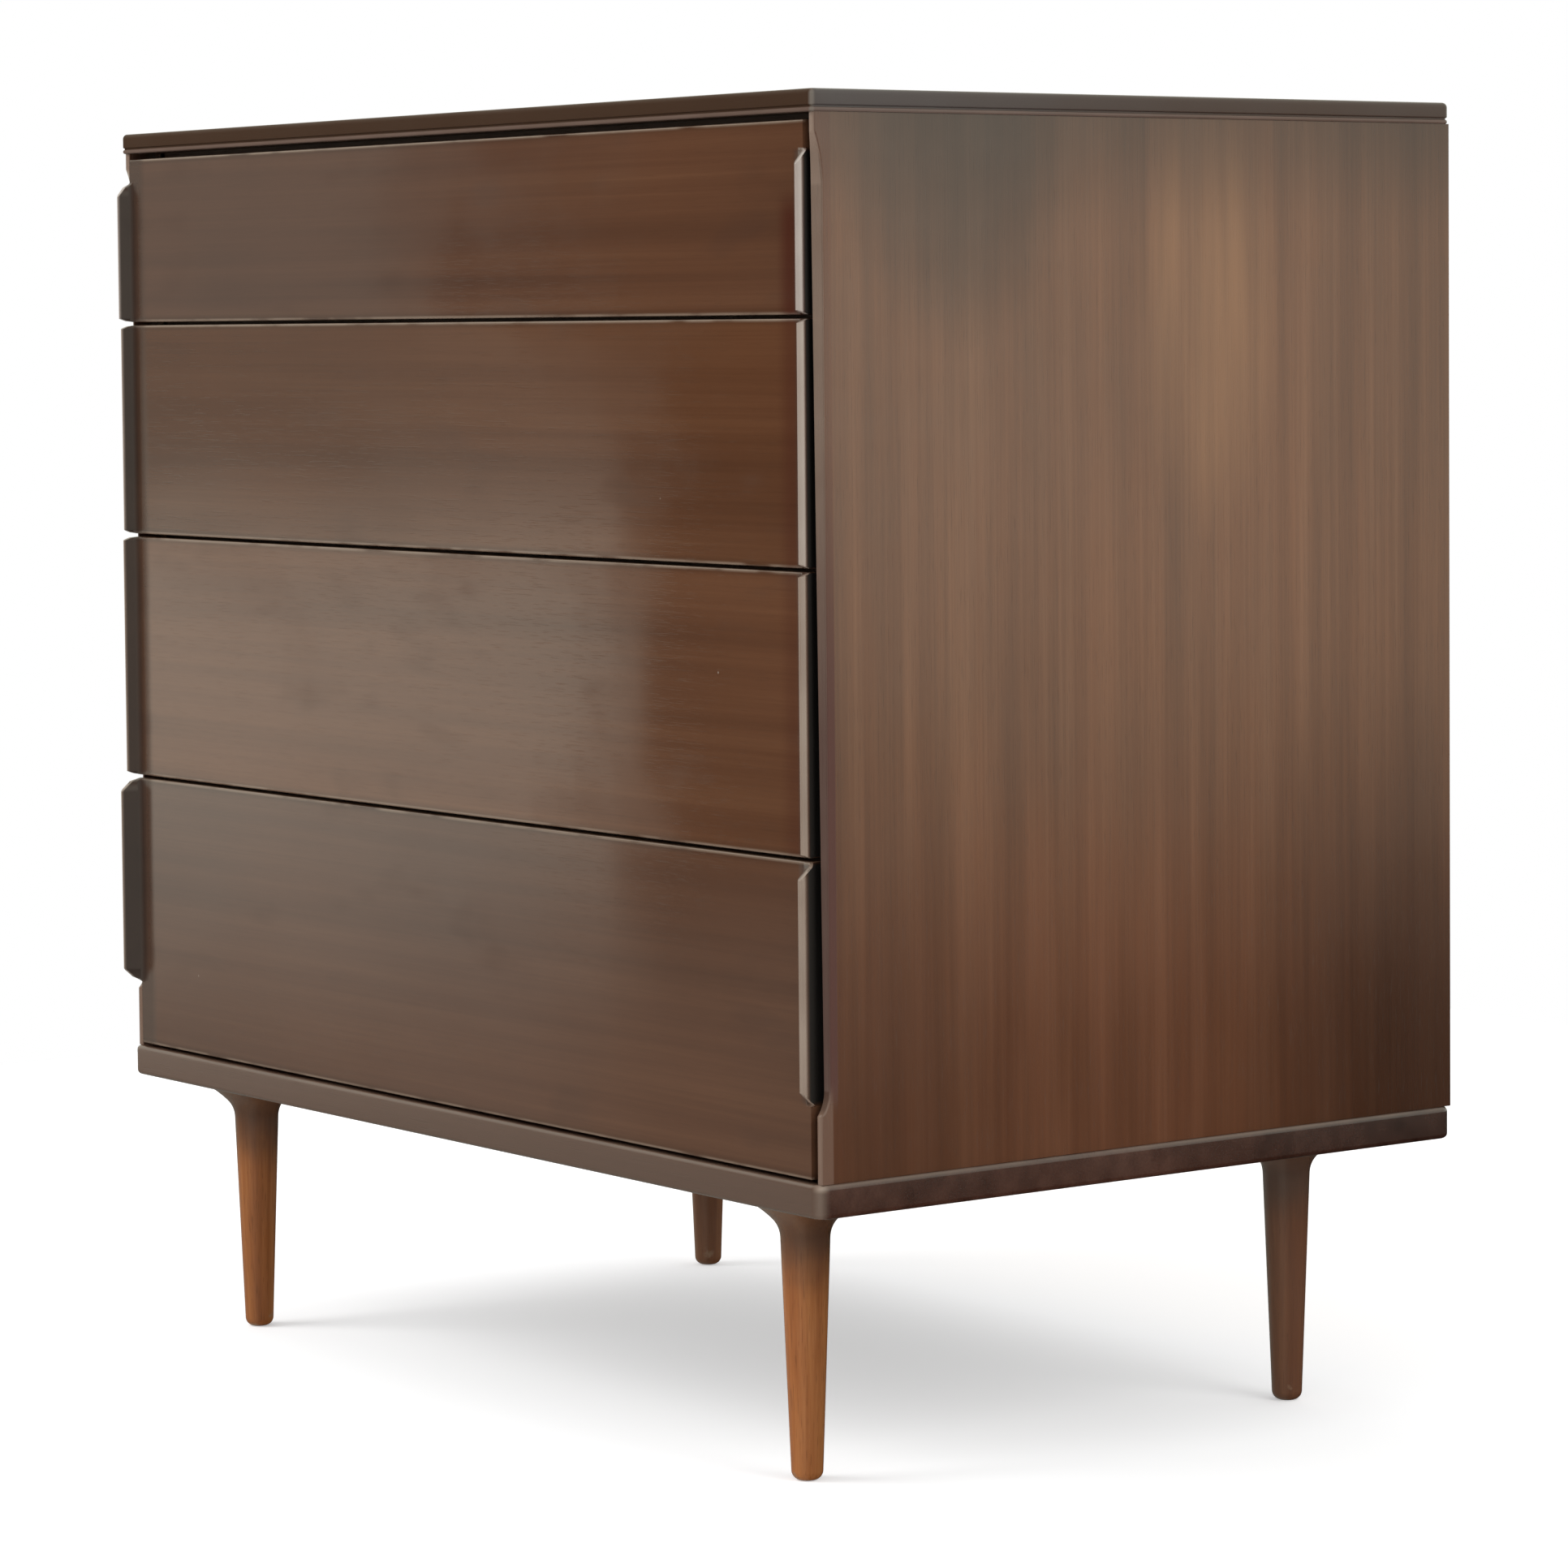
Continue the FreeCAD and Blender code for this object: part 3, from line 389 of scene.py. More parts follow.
def steel(name, colour, roughness):
    """Plain drawn steel with fine turning marks and a little dulling."""
    made = bpy.data.materials.new(name)
    made.use_nodes = True
    bench = Bench(made.node_tree)
    bench.tree.nodes.clear()
    place = bench.node("ShaderNodeTexCoord").outputs["Object"]
    dull = bench.amount("ShaderNodeTexNoise", None, {"Vector": place, "Scale": 400.0, "Detail": 3})
    marks = bench.amount("ShaderNodeTexNoise", None, {"Vector": place, "Scale": 2500.0, "Detail": 1})
    bump = bench.node("ShaderNodeBump", None, {"Strength": 0.3, "Distance": 0.0002, "Height": marks})
    sockets = {
        "Base Color": bench.blend(dull, colour, [c * 0.6 for c in colour]),
        "Metallic": 1.0,
        "Roughness": dull * 0.25 + roughness,
        "Normal": bump.outputs[0],
    }
    shader = bench.node("ShaderNodeBsdfPrincipled", None, sockets)
    bench.node("ShaderNodeOutputMaterial", None, {"Surface": shader.outputs[0]})
    return made


def dress(node, material):
    """Gives a CAD node's own mesh its finish."""
    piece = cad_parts[node]
    if not piece.material_slots:
        piece.data.materials.append(material)
    for held in piece.material_slots:
        held.material = material


dress("leg_bolts", steel("bolt_steel", (0.42, 0.41, 0.39), 0.3))

# Sides: veneered boards with upright grain. A narrow tongue of each shows beside the drawer fronts, edged
# with solid wood, and it is scooped back along the pulls, with a long run-out above and a short one below.
# The veneer is painted darker towards the foot and the back as painted shade, and lighter low in the middle
# as painted light. The lipping is painted dark red beside the pulls as painted shade and paler below them as
# a painted sheen, and the tongue's edge is pale from wear and a painted highlight.
tongue = 0.005
inner_half = right_side[0].x
base_top, under_top = right_side[0].z, right_side[1].z
scoop_deep, scoop_low, scoop_high = 0.0055, base_top + 0.037, under_top - 0.010
run_low, run_high = 0.014, 0.030


def scoop(z):
    """How far the tongue's front edge is cut back at one height."""
    for start, way, run in ((scoop_low, 1, run_low), (scoop_high, -1, run_high)):
        along = (z - start) * way
        if along <= 0:
            return 0.0
        if along < run:
            radius = (scoop_deep**2 + run**2) / (2 * scoop_deep)
            return math.sqrt(max(radius**2 - (run - along) ** 2, 0)) - (radius - scoop_deep)
    return scoop_deep


def oval(back, up, reach_back, reach_up):
    """1 at one place on the sides, falling to 0 at the edge of an oval about it."""
    away = ((veneer.y - back) * (1 / reach_back)) ** 2 + ((veneer.z - up) * (1 / reach_up)) ** 2
    return 1 - away.rise(0.0, 1.0)


veneer = Timber("side_veneer", "z", 0.0)
veneer.grow(((0.1, 0.036, 0.013), (0.152, 0.061, 0.025), (0.215, 0.098, 0.046)), 0.6, 0.35, 0.25)
mottled = veneer.cloud(0.2, 2, 1.0)
streaks = veneer.figure(0.3, 0.022, 2, shift=9.0)
on_right = veneer.x.rise(-0.1, 0.1) * 0.8 + 0.2
warm = oval(0.05, 0.65, 0.0606, 0.1414) * (streaks.rise(0.3, 0.7) * 0.6 + 0.25) * on_right
veneer.stain(warm, (0.24, 0.115, 0.05))
dim = oval(-0.13, 0.735, 0.0877, 0.1155) * on_right
fine = veneer.figure(0.16, 0.005, 2, shift=15.0)
toned = (mottled - 0.5) * 0.4 + (streaks - 0.5) * 0.55 + (fine - 0.5) * 0.4 + 0.96
# Darker towards the foot, towards the back and in the lower back corner: painted shade. Also darker along the
# top and in the dim oval near the front of the top.
toned = toned * (veneer.z.rise(0.2, 0.5) * 0.4 + 0.6) * (1 - veneer.z.rise(0.685, 0.765) * 0.5)
toned = toned * (1 - dim * 0.6) * (1 - veneer.y.rise(0.1, 0.22) * 0.19)
toned = toned * (1 - veneer.y.rise(0.04, 0.22) * (1 - veneer.z.rise(0.22, 0.42)) * 0.36)
# A painted glow lightens the low middle of each side: painted light.
glow_low = (1 - abs(veneer.y + 0.01).rise(0.03, 0.17)) * (1 - veneer.z.rise(0.27, 0.42))
veneer.stain((1 - veneer.z.rise(0.24, 0.44)) * 0.55, (0.145, 0.043, 0.016))
veneer.shade(toned * (glow_low * 0.3 + 1))
beside_pull = veneer.z.rise(scoop_low, scoop_low + 0.02)
lipping, plain_lipping, blur = 0.0128, 0.0095, 0.001
lipping_strip = 1 - (veneer.y - front_y).rise(lipping - blur, lipping)
low_half = 1 - veneer.z.rise(0.4, 0.62)
# The lipping beside the scoop is painted dark red, most in its lower half: painted shade.
strip_shade = lipping_strip * beside_pull * (low_half * 0.6 + 0.25)
veneer.stain(strip_shade, (0.07, 0.01, 0.006))
# Below the scoop the lipping is painted lighter and greyer: a painted sheen.
plain_strip_sheen = (1 - (veneer.y - front_y).rise(plain_lipping - blur, plain_lipping)) * (1 - beside_pull)
veneer.stain(plain_strip_sheen * 0.5, (0.2, 0.125, 0.09))
# The tongue's front edge is painted pale: wear and a painted highlight.
worn = veneer.attribute("worn") * (veneer.cloud(0.03, 2, 3.0) * 0.5 + 0.5) * (1 - low_half * 0.6)
veneer.stain(worn, (0.34, 0.25, 0.19))
uneven = (mottled - 0.5) * 0.1 + (streaks - 0.5) * 0.08 + veneer.pore * 0.08
side_veneer = veneer.lacquer(uneven + strip_shade * 0.4 + 0.16, 0.0005)

lining = Timber("side_lining", "z", 6.0)
lining.grow(((0.17, 0.095, 0.05), (0.23, 0.135, 0.075), (0.3, 0.18, 0.105)), 0.7, 0.5, 0.4)
side_lining = lining.lacquer(lining.cloud(0.05) * 0.1 + 0.55, 0)

front_thick, stop_gap, back_thick, back_rebate = 0.020, 0.0005, 0.006, 0.010
rebate_y = front_y + front_thick + stop_gap
back_rebate_y, back_rebate_x = back_y - back_thick, inner_half + back_rebate
tongue_x = half_width - tongue
arris, nick, bevel_top, bevel_run = 0.0012, 0.0006, 0.72, 0.35
stations = [base_top, scoop_low]
stations += [scoop_low + run_low * step / 10 for step in range(1, 11)]
stations += [scoop_high - run_high * (1 - step / 14) for step in range(15)]
stations += [under_top]
for side, sign in (("left", -1), ("right", 1)):
    rings, wear_and_highlight_marks = [], []
    for z in stations:
        cut = side_front + scoop(z)
        eased = side_front + scoop(z) * max(0.15, min(0.85, (bevel_top - z) / bevel_run))
        # The third number of each point is how pale it is painted, from wear and a painted highlight.
        points = [(tongue_x, eased + nick, 0.2), (tongue_x + nick, eased + nick / 3, 0.75)]
        for step in range(6):
            turn = math.radians(90 * step / 5)
            bent = (half_width - arris + arris * math.sin(turn), cut + arris - arris * math.cos(turn))
            points.append((*bent, 0.75 if step < 3 else 0.15))
        points += [(half_width, back_y, 0), (back_rebate_x, back_y, 0), (back_rebate_x, back_rebate_y, 0)]
        points += [(inner_half, back_rebate_y, 0), (inner_half, rebate_y, 0), (tongue_x, rebate_y, 0)]
        rings.append([(across * sign, back, z) for across, back, _ in points])
        wear_and_highlight_marks += [amount for _, _, amount in points]
    panel = loft(f"{side}_side", rings, {"worn": wear_and_highlight_marks})
    panel.data.materials.append(side_veneer)
    panel.data.materials.append(side_lining)
    for face in panel.data.polygons:
        if face.normal.x * sign < -0.5 and abs(face.center.x) < tongue_x - nick:
            face.material_index = 1
    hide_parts(f"{side}_side_panel")
    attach(panel, "case")

# Dowels: round beech pegs that hold the sides between the base panel and the top. They are glued into bores
# in the ends of the sides, and nothing of them shows.
pegs = Timber("dowel_wood", "z", 1.0)
pegs.grow(((0.38, 0.25, 0.14), (0.47, 0.32, 0.19), (0.55, 0.4, 0.26)), 0.5, 0.5, 0.3)
dress("case_dowels", pegs.lacquer(pegs.cloud(0.02) * 0.1 + 0.6, 0))

# Rails: four softwood rails housed in the sides behind the gaps between the drawers, stained dark so that
# they don't show. They are left without lacquer.
stained_rail = Timber("rail_wood", "x", 5.0)
stained_rail.grow(((0.07, 0.036, 0.02), (0.11, 0.06, 0.034), (0.16, 0.095, 0.06)), 1.0, 0.7, 0.4)
rail_wood = stained_rail.lacquer(stained_rail.cloud(0.05) * 0.15 + 0.5, 0, relief=2.0)
for rail in ("top_rail", "divider_rail_1", "divider_rail_2", "divider_rail_3"):
    dress(rail, rail_wood)

# Runners: planed hardwood strips screwed to the insides of the sides. The drawers hang on them by the
# grooves in their sides, which has polished the strips a little.
strip = Timber("runner_wood", "y", 7.0)
strip.grow(((0.33, 0.21, 0.115), (0.42, 0.28, 0.16), (0.5, 0.355, 0.22)), 0.8, 0.6, 0.4)
polished = strip.cloud(0.06, 2).rise(0.35, 0.65)
strip.stain(polished * 0.3, (0.3, 0.19, 0.11))
runner_wood = strip.lacquer(0.62 - polished * 0.2, 0)
drawers = (1, 2, 3, 4)
for number in drawers:
    for side in ("left", "right"):
        dress(f"runner_{number}_{side}", runner_wood)

# Back panel: a sheet of plywood let into the rebates behind the sides. It is sanded but not stained, and it
# has darkened unevenly over the years.
sheet = Timber("plywood", "x", 3.0)
sheet.grow(((0.27, 0.165, 0.09), (0.36, 0.235, 0.135), (0.44, 0.3, 0.185)), 1.1, 0.5, 0.5)
aged = sheet.cloud(0.15, 3).rise(0.4, 0.75)
sheet.stain(aged * 0.35, (0.2, 0.12, 0.065))
plywood = sheet.lacquer(sheet.cloud(0.04) * 0.12 + 0.55, 0, relief=2.0)
dress("back_panel", plywood)

# Screws: slotted steel screws with domed heads. They hold the back panel and the runners here, and the
# drawer bottoms further on. The slots stand as the last turn of the driver left them.
screw_steel = steel("screw_steel", (0.4, 0.38, 0.34), 0.32)
screw_tree = bpy.data.node_groups.new("slotted_screws", "GeometryNodeTree")
screw_tree.interface.new_socket("Seats", in_out="INPUT", socket_type="NodeSocketGeometry")
screw_sizes = {
    "Head radius": 0.0035,
    "Head height": 0.0016,
    "Slot width": 0.0008,
    "Slot depth": 0.0009,
    "Shank radius": 0.00175,
    "Shank length": 0.014,
}
for label, length in screw_sizes.items():
    size = screw_tree.interface.new_socket(label, in_out="INPUT", socket_type="NodeSocketFloat")
    size.default_value = length
screw_tree.interface.new_socket("Screws", in_out="OUTPUT", socket_type="NodeSocketGeometry")
shop = Bench(screw_tree)
given = shop.node("NodeGroupInput")
head_wide, head_high, slot_wide, slot_deep, shank_wide, shank_long = (
    Amount(screw_tree, given.outputs[label]) for label in screw_sizes
)


def vector(x, y, z):
    """A vector in the screw's node tree, from three amounts or numbers."""
    return shop.node("ShaderNodeCombineXYZ", None, {"X": x, "Y": y, "Z": z}).outputs[0]


ball = shop.node("GeometryNodeMeshUVSphere", None, {"Segments": 24, "Rings": 12, "Radius": 1.0})
squat = shop.node(
    "GeometryNodeTransform",
    None,
    {"Geometry": ball.outputs["Mesh"], "Scale": vector(head_wide, head_wide, head_high)},
)
x, y, z = shop.apart(shop.node("GeometryNodeInputPosition").outputs[0])
dome = shop.node(
    "GeometryNodeSetPosition",
    None,
    {"Geometry": squat.outputs[0], "Position": vector(x, y, z.most(0.0))},
)
bar = shop.node("GeometryNodeMeshCube", None, {"Size": vector(head_wide * 3, slot_wide, slot_deep * 2)})
blade = shop.node(
    "GeometryNodeTransform",
    None,
    {"Geometry": bar.outputs["Mesh"], "Translation": vector(0.0, 0.0, head_high)},
)
head = shop.node(
    "GeometryNodeMeshBoolean",
    {"operation": "DIFFERENCE", "solver": "EXACT"},
    {"Mesh 1": dome.outputs[0]},
)
screw_tree.links.new(blade.outputs[0], head.inputs["Mesh 2"])
pin = shop.node("GeometryNodeMeshCylinder", None, {"Vertices": 16, "Radius": shank_wide, "Depth": shank_long})
shank = shop.node(
    "GeometryNodeTransform",
    None,
    {"Geometry": pin.outputs["Mesh"], "Translation": vector(0.0, 0.0, shank_long * -0.5)},
)
screw = shop.node("GeometryNodeJoinGeometry")
screw_tree.links.new(head.outputs[0], screw.inputs[0])
screw_tree.links.new(shank.outputs[0], screw.inputs[0])
outward = shop.node(
    "GeometryNodeInputNamedAttribute",
    {"data_type": "FLOAT_VECTOR"},
    {"Name": "outward"},
)
stand = shop.node(
    "FunctionNodeAlignRotationToVector",
    {"axis": "Z"},
    {"Vector": outward.outputs["Attribute"]},
)
last_turn = shop.node("FunctionNodeRandomValue", {"data_type": "FLOAT"})
for socket in last_turn.inputs:
    if socket.name == "Max" and socket.type == "VALUE":
        socket.default_value = math.pi
    elif socket.name == "Seed":
        socket.default_value = 11
turn = next(socket for socket in last_turn.outputs if socket.type == "VALUE" and socket.enabled)
spin = shop.node("FunctionNodeAxisAngleToRotation", None, {"Axis": (0, 0, 1), "Angle": turn})
stood = shop.node(
    "FunctionNodeRotateRotation",
    {"rotation_space": "LOCAL"},
    {"Rotation": stand.outputs[0], "Rotate By": spin.outputs[0]},
)
placed = shop.node(
    "GeometryNodeInstanceOnPoints",
    None,
    {"Points": given.outputs["Seats"], "Instance": screw.outputs[0], "Rotation": stood.outputs[0]},
)
real = shop.node("GeometryNodeRealizeInstances", None, {"Geometry": placed.outputs[0]})
coated = shop.node("GeometryNodeSetMaterial", None, {"Geometry": real.outputs[0], "Material": screw_steel})
shop.node("NodeGroupOutput", None, {"Screws": coated.outputs[0]})


def drive_screws(name, body, nodes, seats):
    """One mesh of screws. Each seat is the place under a head, and the way that the head faces."""
    data = bpy.data.meshes.new(name)
    data.from_pydata([place for place, _ in seats], [], [])
    facing = data.attributes.new("outward", "FLOAT_VECTOR", "POINT")
    facing.data.foreach_set("vector", [number for _, way in seats for number in way])
    screws = bpy.data.objects.new(name, data)
    bpy.context.collection.objects.link(screws)
    made = screws.modifiers.new("screws", "NODES")
    made.node_group = screw_tree
    for item in screw_tree.interface.items_tree:
        if item.in_out == "INPUT" and item.name in screw_sizes:
            made[item.identifier] = screw_sizes[item.name]
    seen = screws.evaluated_get(bpy.context.evaluated_depsgraph_get())
    result = bpy.data.meshes.new_from_object(seen)
    screws.modifiers.remove(made)
    screws.data = result
    result.shade_smooth()
    result.set_sharp_from_angle(angle=math.radians(35))
    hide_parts(*nodes)
    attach(screws, body)


head_radius, head_height = screw_sizes["Head radius"], screw_sizes["Head height"]
low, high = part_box("back_screws")
seats, rows = [], 5
for across in (low.x + head_radius, high.x - head_radius):
    for step in range(rows):
        up = low.z + head_radius + (high.z - low.z - 2 * head_radius) * step / (rows - 1)
        seats.append(((across, high.y - head_height, up), (0, 1, 0)))
low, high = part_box("runner_screws")
for number in drawers:
    for side, sign in (("left", -1), ("right", 1)):
        strip_low, strip_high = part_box(f"runner_{number}_{side}")
        seat = (high.x - screw_sizes["Shank length"]) * sign
        for back in (low.y + head_radius, high.y - head_radius):
            seats.append(((seat, back, (strip_low.z + strip_high.z) / 2), (-sign, 0, 0)))
drive_screws("case_screws", "case", ("back_screws", "runner_screws"), seats)

# Top panel: a thin veneered board, with a bead worked along its lower edge and a fine groove above the bead.
# The edges are stained very dark, and the side edges are painted grey as a painted sheen, most towards the
# front. The bead and the front right corner carry painted highlights. The grain runs along the chest.
top_low, top_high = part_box("top_panel")
top_corner = 0.004
bead_round = [(0.0009, 0), (0.0003, 0.0003), (0, 0.0008), (0, 0.0017), (0.0003, 0.0022), (0.0009, 0.0025)]
groove = [(0.001, 0.0027), (0.001, 0.0033), (0.0008, 0.0035), (0.0002, 0.0037), (0, 0.0042)]
levels = [(inset, top_low.z + rise) for inset, rise in bead_round + groove]
levels += [(inset, top_high.z - rise) for inset, rise in reversed(quarter(panel_arris))]
top = loft("top_board", [board_outline(top_low, top_high, top_corner, z, inset) for inset, z in levels])
lid = Timber("top_veneer", "x", 8.0)
lid.grow(((0.07, 0.034, 0.018), (0.105, 0.055, 0.03), (0.15, 0.086, 0.05)), 0.8, 0.4, 0.45)
front_edge = 1 - (lid.y - top_low.y).rise(0.0008, 0.003)
side_edge = (abs(lid.x) - top_high.x).rise(-0.003, -0.0008)
lid.stain(front_edge.most(side_edge), (0.048, 0.018, 0.005))
# The side edges are painted grey, most towards the front: a painted sheen.
rubbed_and_sheen = side_edge * (1 - (lid.y - top_low.y).rise(0.02, 0.3) * 0.6) * (lid.cloud(0.08) * 0.6 + 0.5)
lid.stain(rubbed_and_sheen * 0.9, (0.085, 0.079, 0.078))
# The bead is painted lighter in patches: a painted highlight.
bead = (1 - (lid.z - top_low.z).rise(0.0022, 0.0027)) * (lid.cloud(0.05, 2, 2.0) * 0.5 + 0.35)
lid.stain(bead, (0.17, 0.11, 0.085))
# A painted highlight on the front right corner.
corner = (lid.x - top_high.x).rise(-0.0035, -0.001) * (top_low.y - lid.y).rise(-0.0035, -0.001)
lid.stain(corner * 0.8, (0.2, 0.17, 0.14))
edge_roughness = lid.cloud(0.06) * 0.15 + front_edge * (1 - corner) * 0.35 + 0.16
top.data.materials.append(lid.lacquer(edge_roughness, 0.0004, 0.25))
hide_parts("top_panel")
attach(top, "case")

# Drawer boxes: pale hardwood sides and backs, joined by dovetails, with plywood bottoms in grooves. They
# have a thin clear finish and a trace of use along the upper edges. Three screws hold each bottom.
boxes = {}
for name, along, seed in (("drawer_side_wood", "y", 1.5), ("drawer_back_wood", "x", 2.5)):
    hardwood = Timber(name, along, seed)
    hardwood.grow(((0.36, 0.23, 0.125), (0.46, 0.31, 0.18), (0.55, 0.39, 0.25)), 0.8, 0.45, 0.4)
    handled = hardwood.cloud(0.09, 3).rise(0.45, 0.75)
    hardwood.stain(handled * 0.3, (0.3, 0.18, 0.1))
    boxes[name] = hardwood.lacquer(hardwood.cloud(0.05, 2, 1.0) * 0.14 + 0.38, 0)
for number in drawers:
    dress(f"drawer_{number}_left_side", boxes["drawer_side_wood"])
    dress(f"drawer_{number}_right_side", boxes["drawer_side_wood"])
    dress(f"drawer_{number}_back", boxes["drawer_back_wood"])
    dress(f"drawer_{number}_bottom", plywood)
    low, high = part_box(f"drawer_{number}_screws")
    seats = []
    for across in (low.x + head_radius, (low.x + high.x) / 2, high.x - head_radius):
        seats.append(((across, (low.y + high.y) / 2, low.z + head_height), (0, 0, -1)))
    drive_screws(f"bottom_screws_{number}", f"drawer_{number}", (f"drawer_{number}_screws",), seats)

# Drawer fronts: veneered boards with slightly rounded edges, cut from one run of dark veneer and lacquered
# to a gloss. Handling has dulled some patches and left small knocks. The edges are pale in patches, from wear
# and a painted highlight. The fronts carry a painted sheen that greys them, painted shade beside the gaps
# and the pulls, and painted light on the faces inside the gaps.
edge_round = 0.001
# For each drawer: how light it is, and how dark at its left end, how red beside its right pull as painted
# shade, how greyed it is by a painted sheen, and the pale colour of its pulls' edges, worn and with a painted
# highlight
front_tones = {
    1: (0.98, 0.2, 0.8, 0.2, (0.52, 0.45, 0.4)),
    2: (1.0, 0.22, 0.45, 0.0, (0.46, 0.38, 0.32)),
    3: (1.05, 0.0, 0.35, 0.05, (0.36, 0.28, 0.22)),
    4: (0.9, 0.0, 0.0, 0.25, (0.36, 0.28, 0.22)),
}


def front_wood(number, low, high):
    """The veneer and lacquer of one drawer's front and pulls, with its own tone and marks."""
    tone, dark_left, red_by_lip, greyed, wear_and_highlight_colour = front_tones[number]
    gloss = Timber(f"front_veneer_{number}", "x", float(number))
    gloss.grow(((0.07, 0.027, 0.012), (0.104, 0.042, 0.019), (0.145, 0.064, 0.03)), 0.5, 0.25, 0.1)
    worn_patch = gloss.cloud(0.11, 3, 6.0)
    toned = (gloss.cloud(0.24, 2, 1.0) - 0.5) * 0.4 + tone - (1 - gloss.x.rise(-0.25, 0.2)) * dark_left
    gloss.shade(toned)
    # Greyer towards the left end, by each drawer's share: a painted sheen.
    painted_sheen = (1 - gloss.x.rise(0.0, 0.25) * 0.6) * greyed
    gloss.stain(painted_sheen, (0.085, 0.075, 0.07))
    smudge = gloss.figure(0.09, 0.03, 2, shift=2.0).rise(0.58, 0.74)
    gloss.stain(smudge * 0.18, (0.05, 0.021, 0.012))
    to_edge = (gloss.z - low.z).least(high.z - gloss.z)
    # Darker within a few millimetres of the top and bottom edges: painted shade beside the gaps between
    # drawers.
    gloss.shade(0.72 + to_edge.rise(0.001, 0.005) * 0.28)
    # The faces inside the gaps are painted paler: painted light where there is shade.
    behind = (gloss.y - low.y).rise(0.001, 0.002) * (1 - to_edge.rise(0.0002, 0.0004))
    gloss.stain(behind * 0.6, (0.25, 0.14, 0.085))
    # Pale along the top and bottom arrises in patches: wear and a painted highlight.
    rubbed_and_sheen = (1 - to_edge.rise(0.0008, 0.0022)) * gloss.cloud(0.045, 3, 9.0).rise(0.3, 0.55)
    rubbed_and_sheen = rubbed_and_sheen * (1 - (gloss.y - low.y).rise(0.001, 0.003))
    gloss.stain(rubbed_and_sheen * 0.65, (0.25, 0.18, 0.13))
    # Darker beside the left pull: painted shade.
    beside_left = 1 - gloss.x.rise(-0.353, -0.343)
    gloss.stain(beside_left * 0.6, (0.05, 0.027, 0.017))
    # Dark red beside the right pull, strongest on drawer 1: painted shade.
    beside_lip = gloss.x.rise(0.338, 0.352) * (1 - gloss.z.rise(0.7, 0.72)) * red_by_lip
    gloss.stain(beside_lip, (0.062, 0.016, 0.009))
    cells = gloss.node("ShaderNodeTexVoronoi", None, {"Vector": gloss.place, "Scale": 21.0})
    spot = 1 - Amount(gloss.tree, cells.outputs["Distance"]).rise(0.008, 0.018)
    knock = spot * gloss.apart(cells.outputs["Color"])[0].rise(0.72, 0.73)
    gloss.stain(knock * 0.6, (0.3, 0.24, 0.19))
    # The pulls' lip edges are painted pale: wear and a painted highlight.
    worn = gloss.attribute("worn") * (gloss.cloud(0.04, 3, 5.0) * 0.5 + 0.55)
    gloss.stain(worn, wear_and_highlight_colour)
    # The hollows and coves of the pulls are painted near black: painted shade.
    grime = gloss.attribute("grime")
    gloss.stain(grime, (0.008, 0.005, 0.004))
    dulled = worn_patch.rise(0.5, 0.72) * 0.05 + smudge * 0.05 + knock * 0.2
    roughness = (worn_patch - 0.5) * 0.03 + dulled + worn * 0.12 + grime * 0.6 + beside_left * 0.22 + 0.05
    return gloss.lacquer(roughness, 0.00045, relief=0.12)


front_woods = {}
for number in drawers:
    low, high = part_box(f"drawer_{number}_front")
    front_woods[number] = front_wood(number, low, high)
    ring = []
    corners = (
        (high.y - edge_round, low.z + edge_round, -90),
        (high.y - edge_round, high.z - edge_round, 0),
        (low.y + edge_round, high.z - edge_round, 90),
        (low.y + edge_round, low.z + edge_round, 180),
    )
    for back, up, start in corners:
        ring += curve(back, up, edge_round, start, start + 90, 4)
    board = loft(f"front_board_{number}", [[(px, back, up) for back, up in ring] for px in (low.x, high.x)])
    board.data.materials.append(front_woods[number])
    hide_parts(f"drawer_{number}_front")
    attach(board, f"drawer_{number}")

# Pulls: the solid end of each front, carved forward into an upright lip with a cove before it and a hollow
# behind it for the fingertips. The lip's round edge is pale, worn and with a painted highlight, and the
# hollow and the cove are painted dark as painted shade.
end_gap, long_slope, short_slope = 0.003, 0.009, 0.0025
front_end = half_width - tongue - end_gap
lean, root, wall, cove, hollow, hollow_radius = 0.565, 0.0025, 0.004, 0.004, 0.002, 0.010
plain_step, sliver, clean_strip = 0.0004, 0.0001, 0.005
# For each drawer: how far the lip stands forward, and the plain heights of the end below it and above it
pull_sizes = {1: (0.0075, 0.0, 0.015), 2: (0.0065, 0.0, 0.0), 3: (0.007, 0.0, 0.0), 4: (0.0105, 0.040, 0.0)}
slant = math.sqrt(1 + lean**2)
lean_angle = math.degrees(math.atan2(lean, 1))


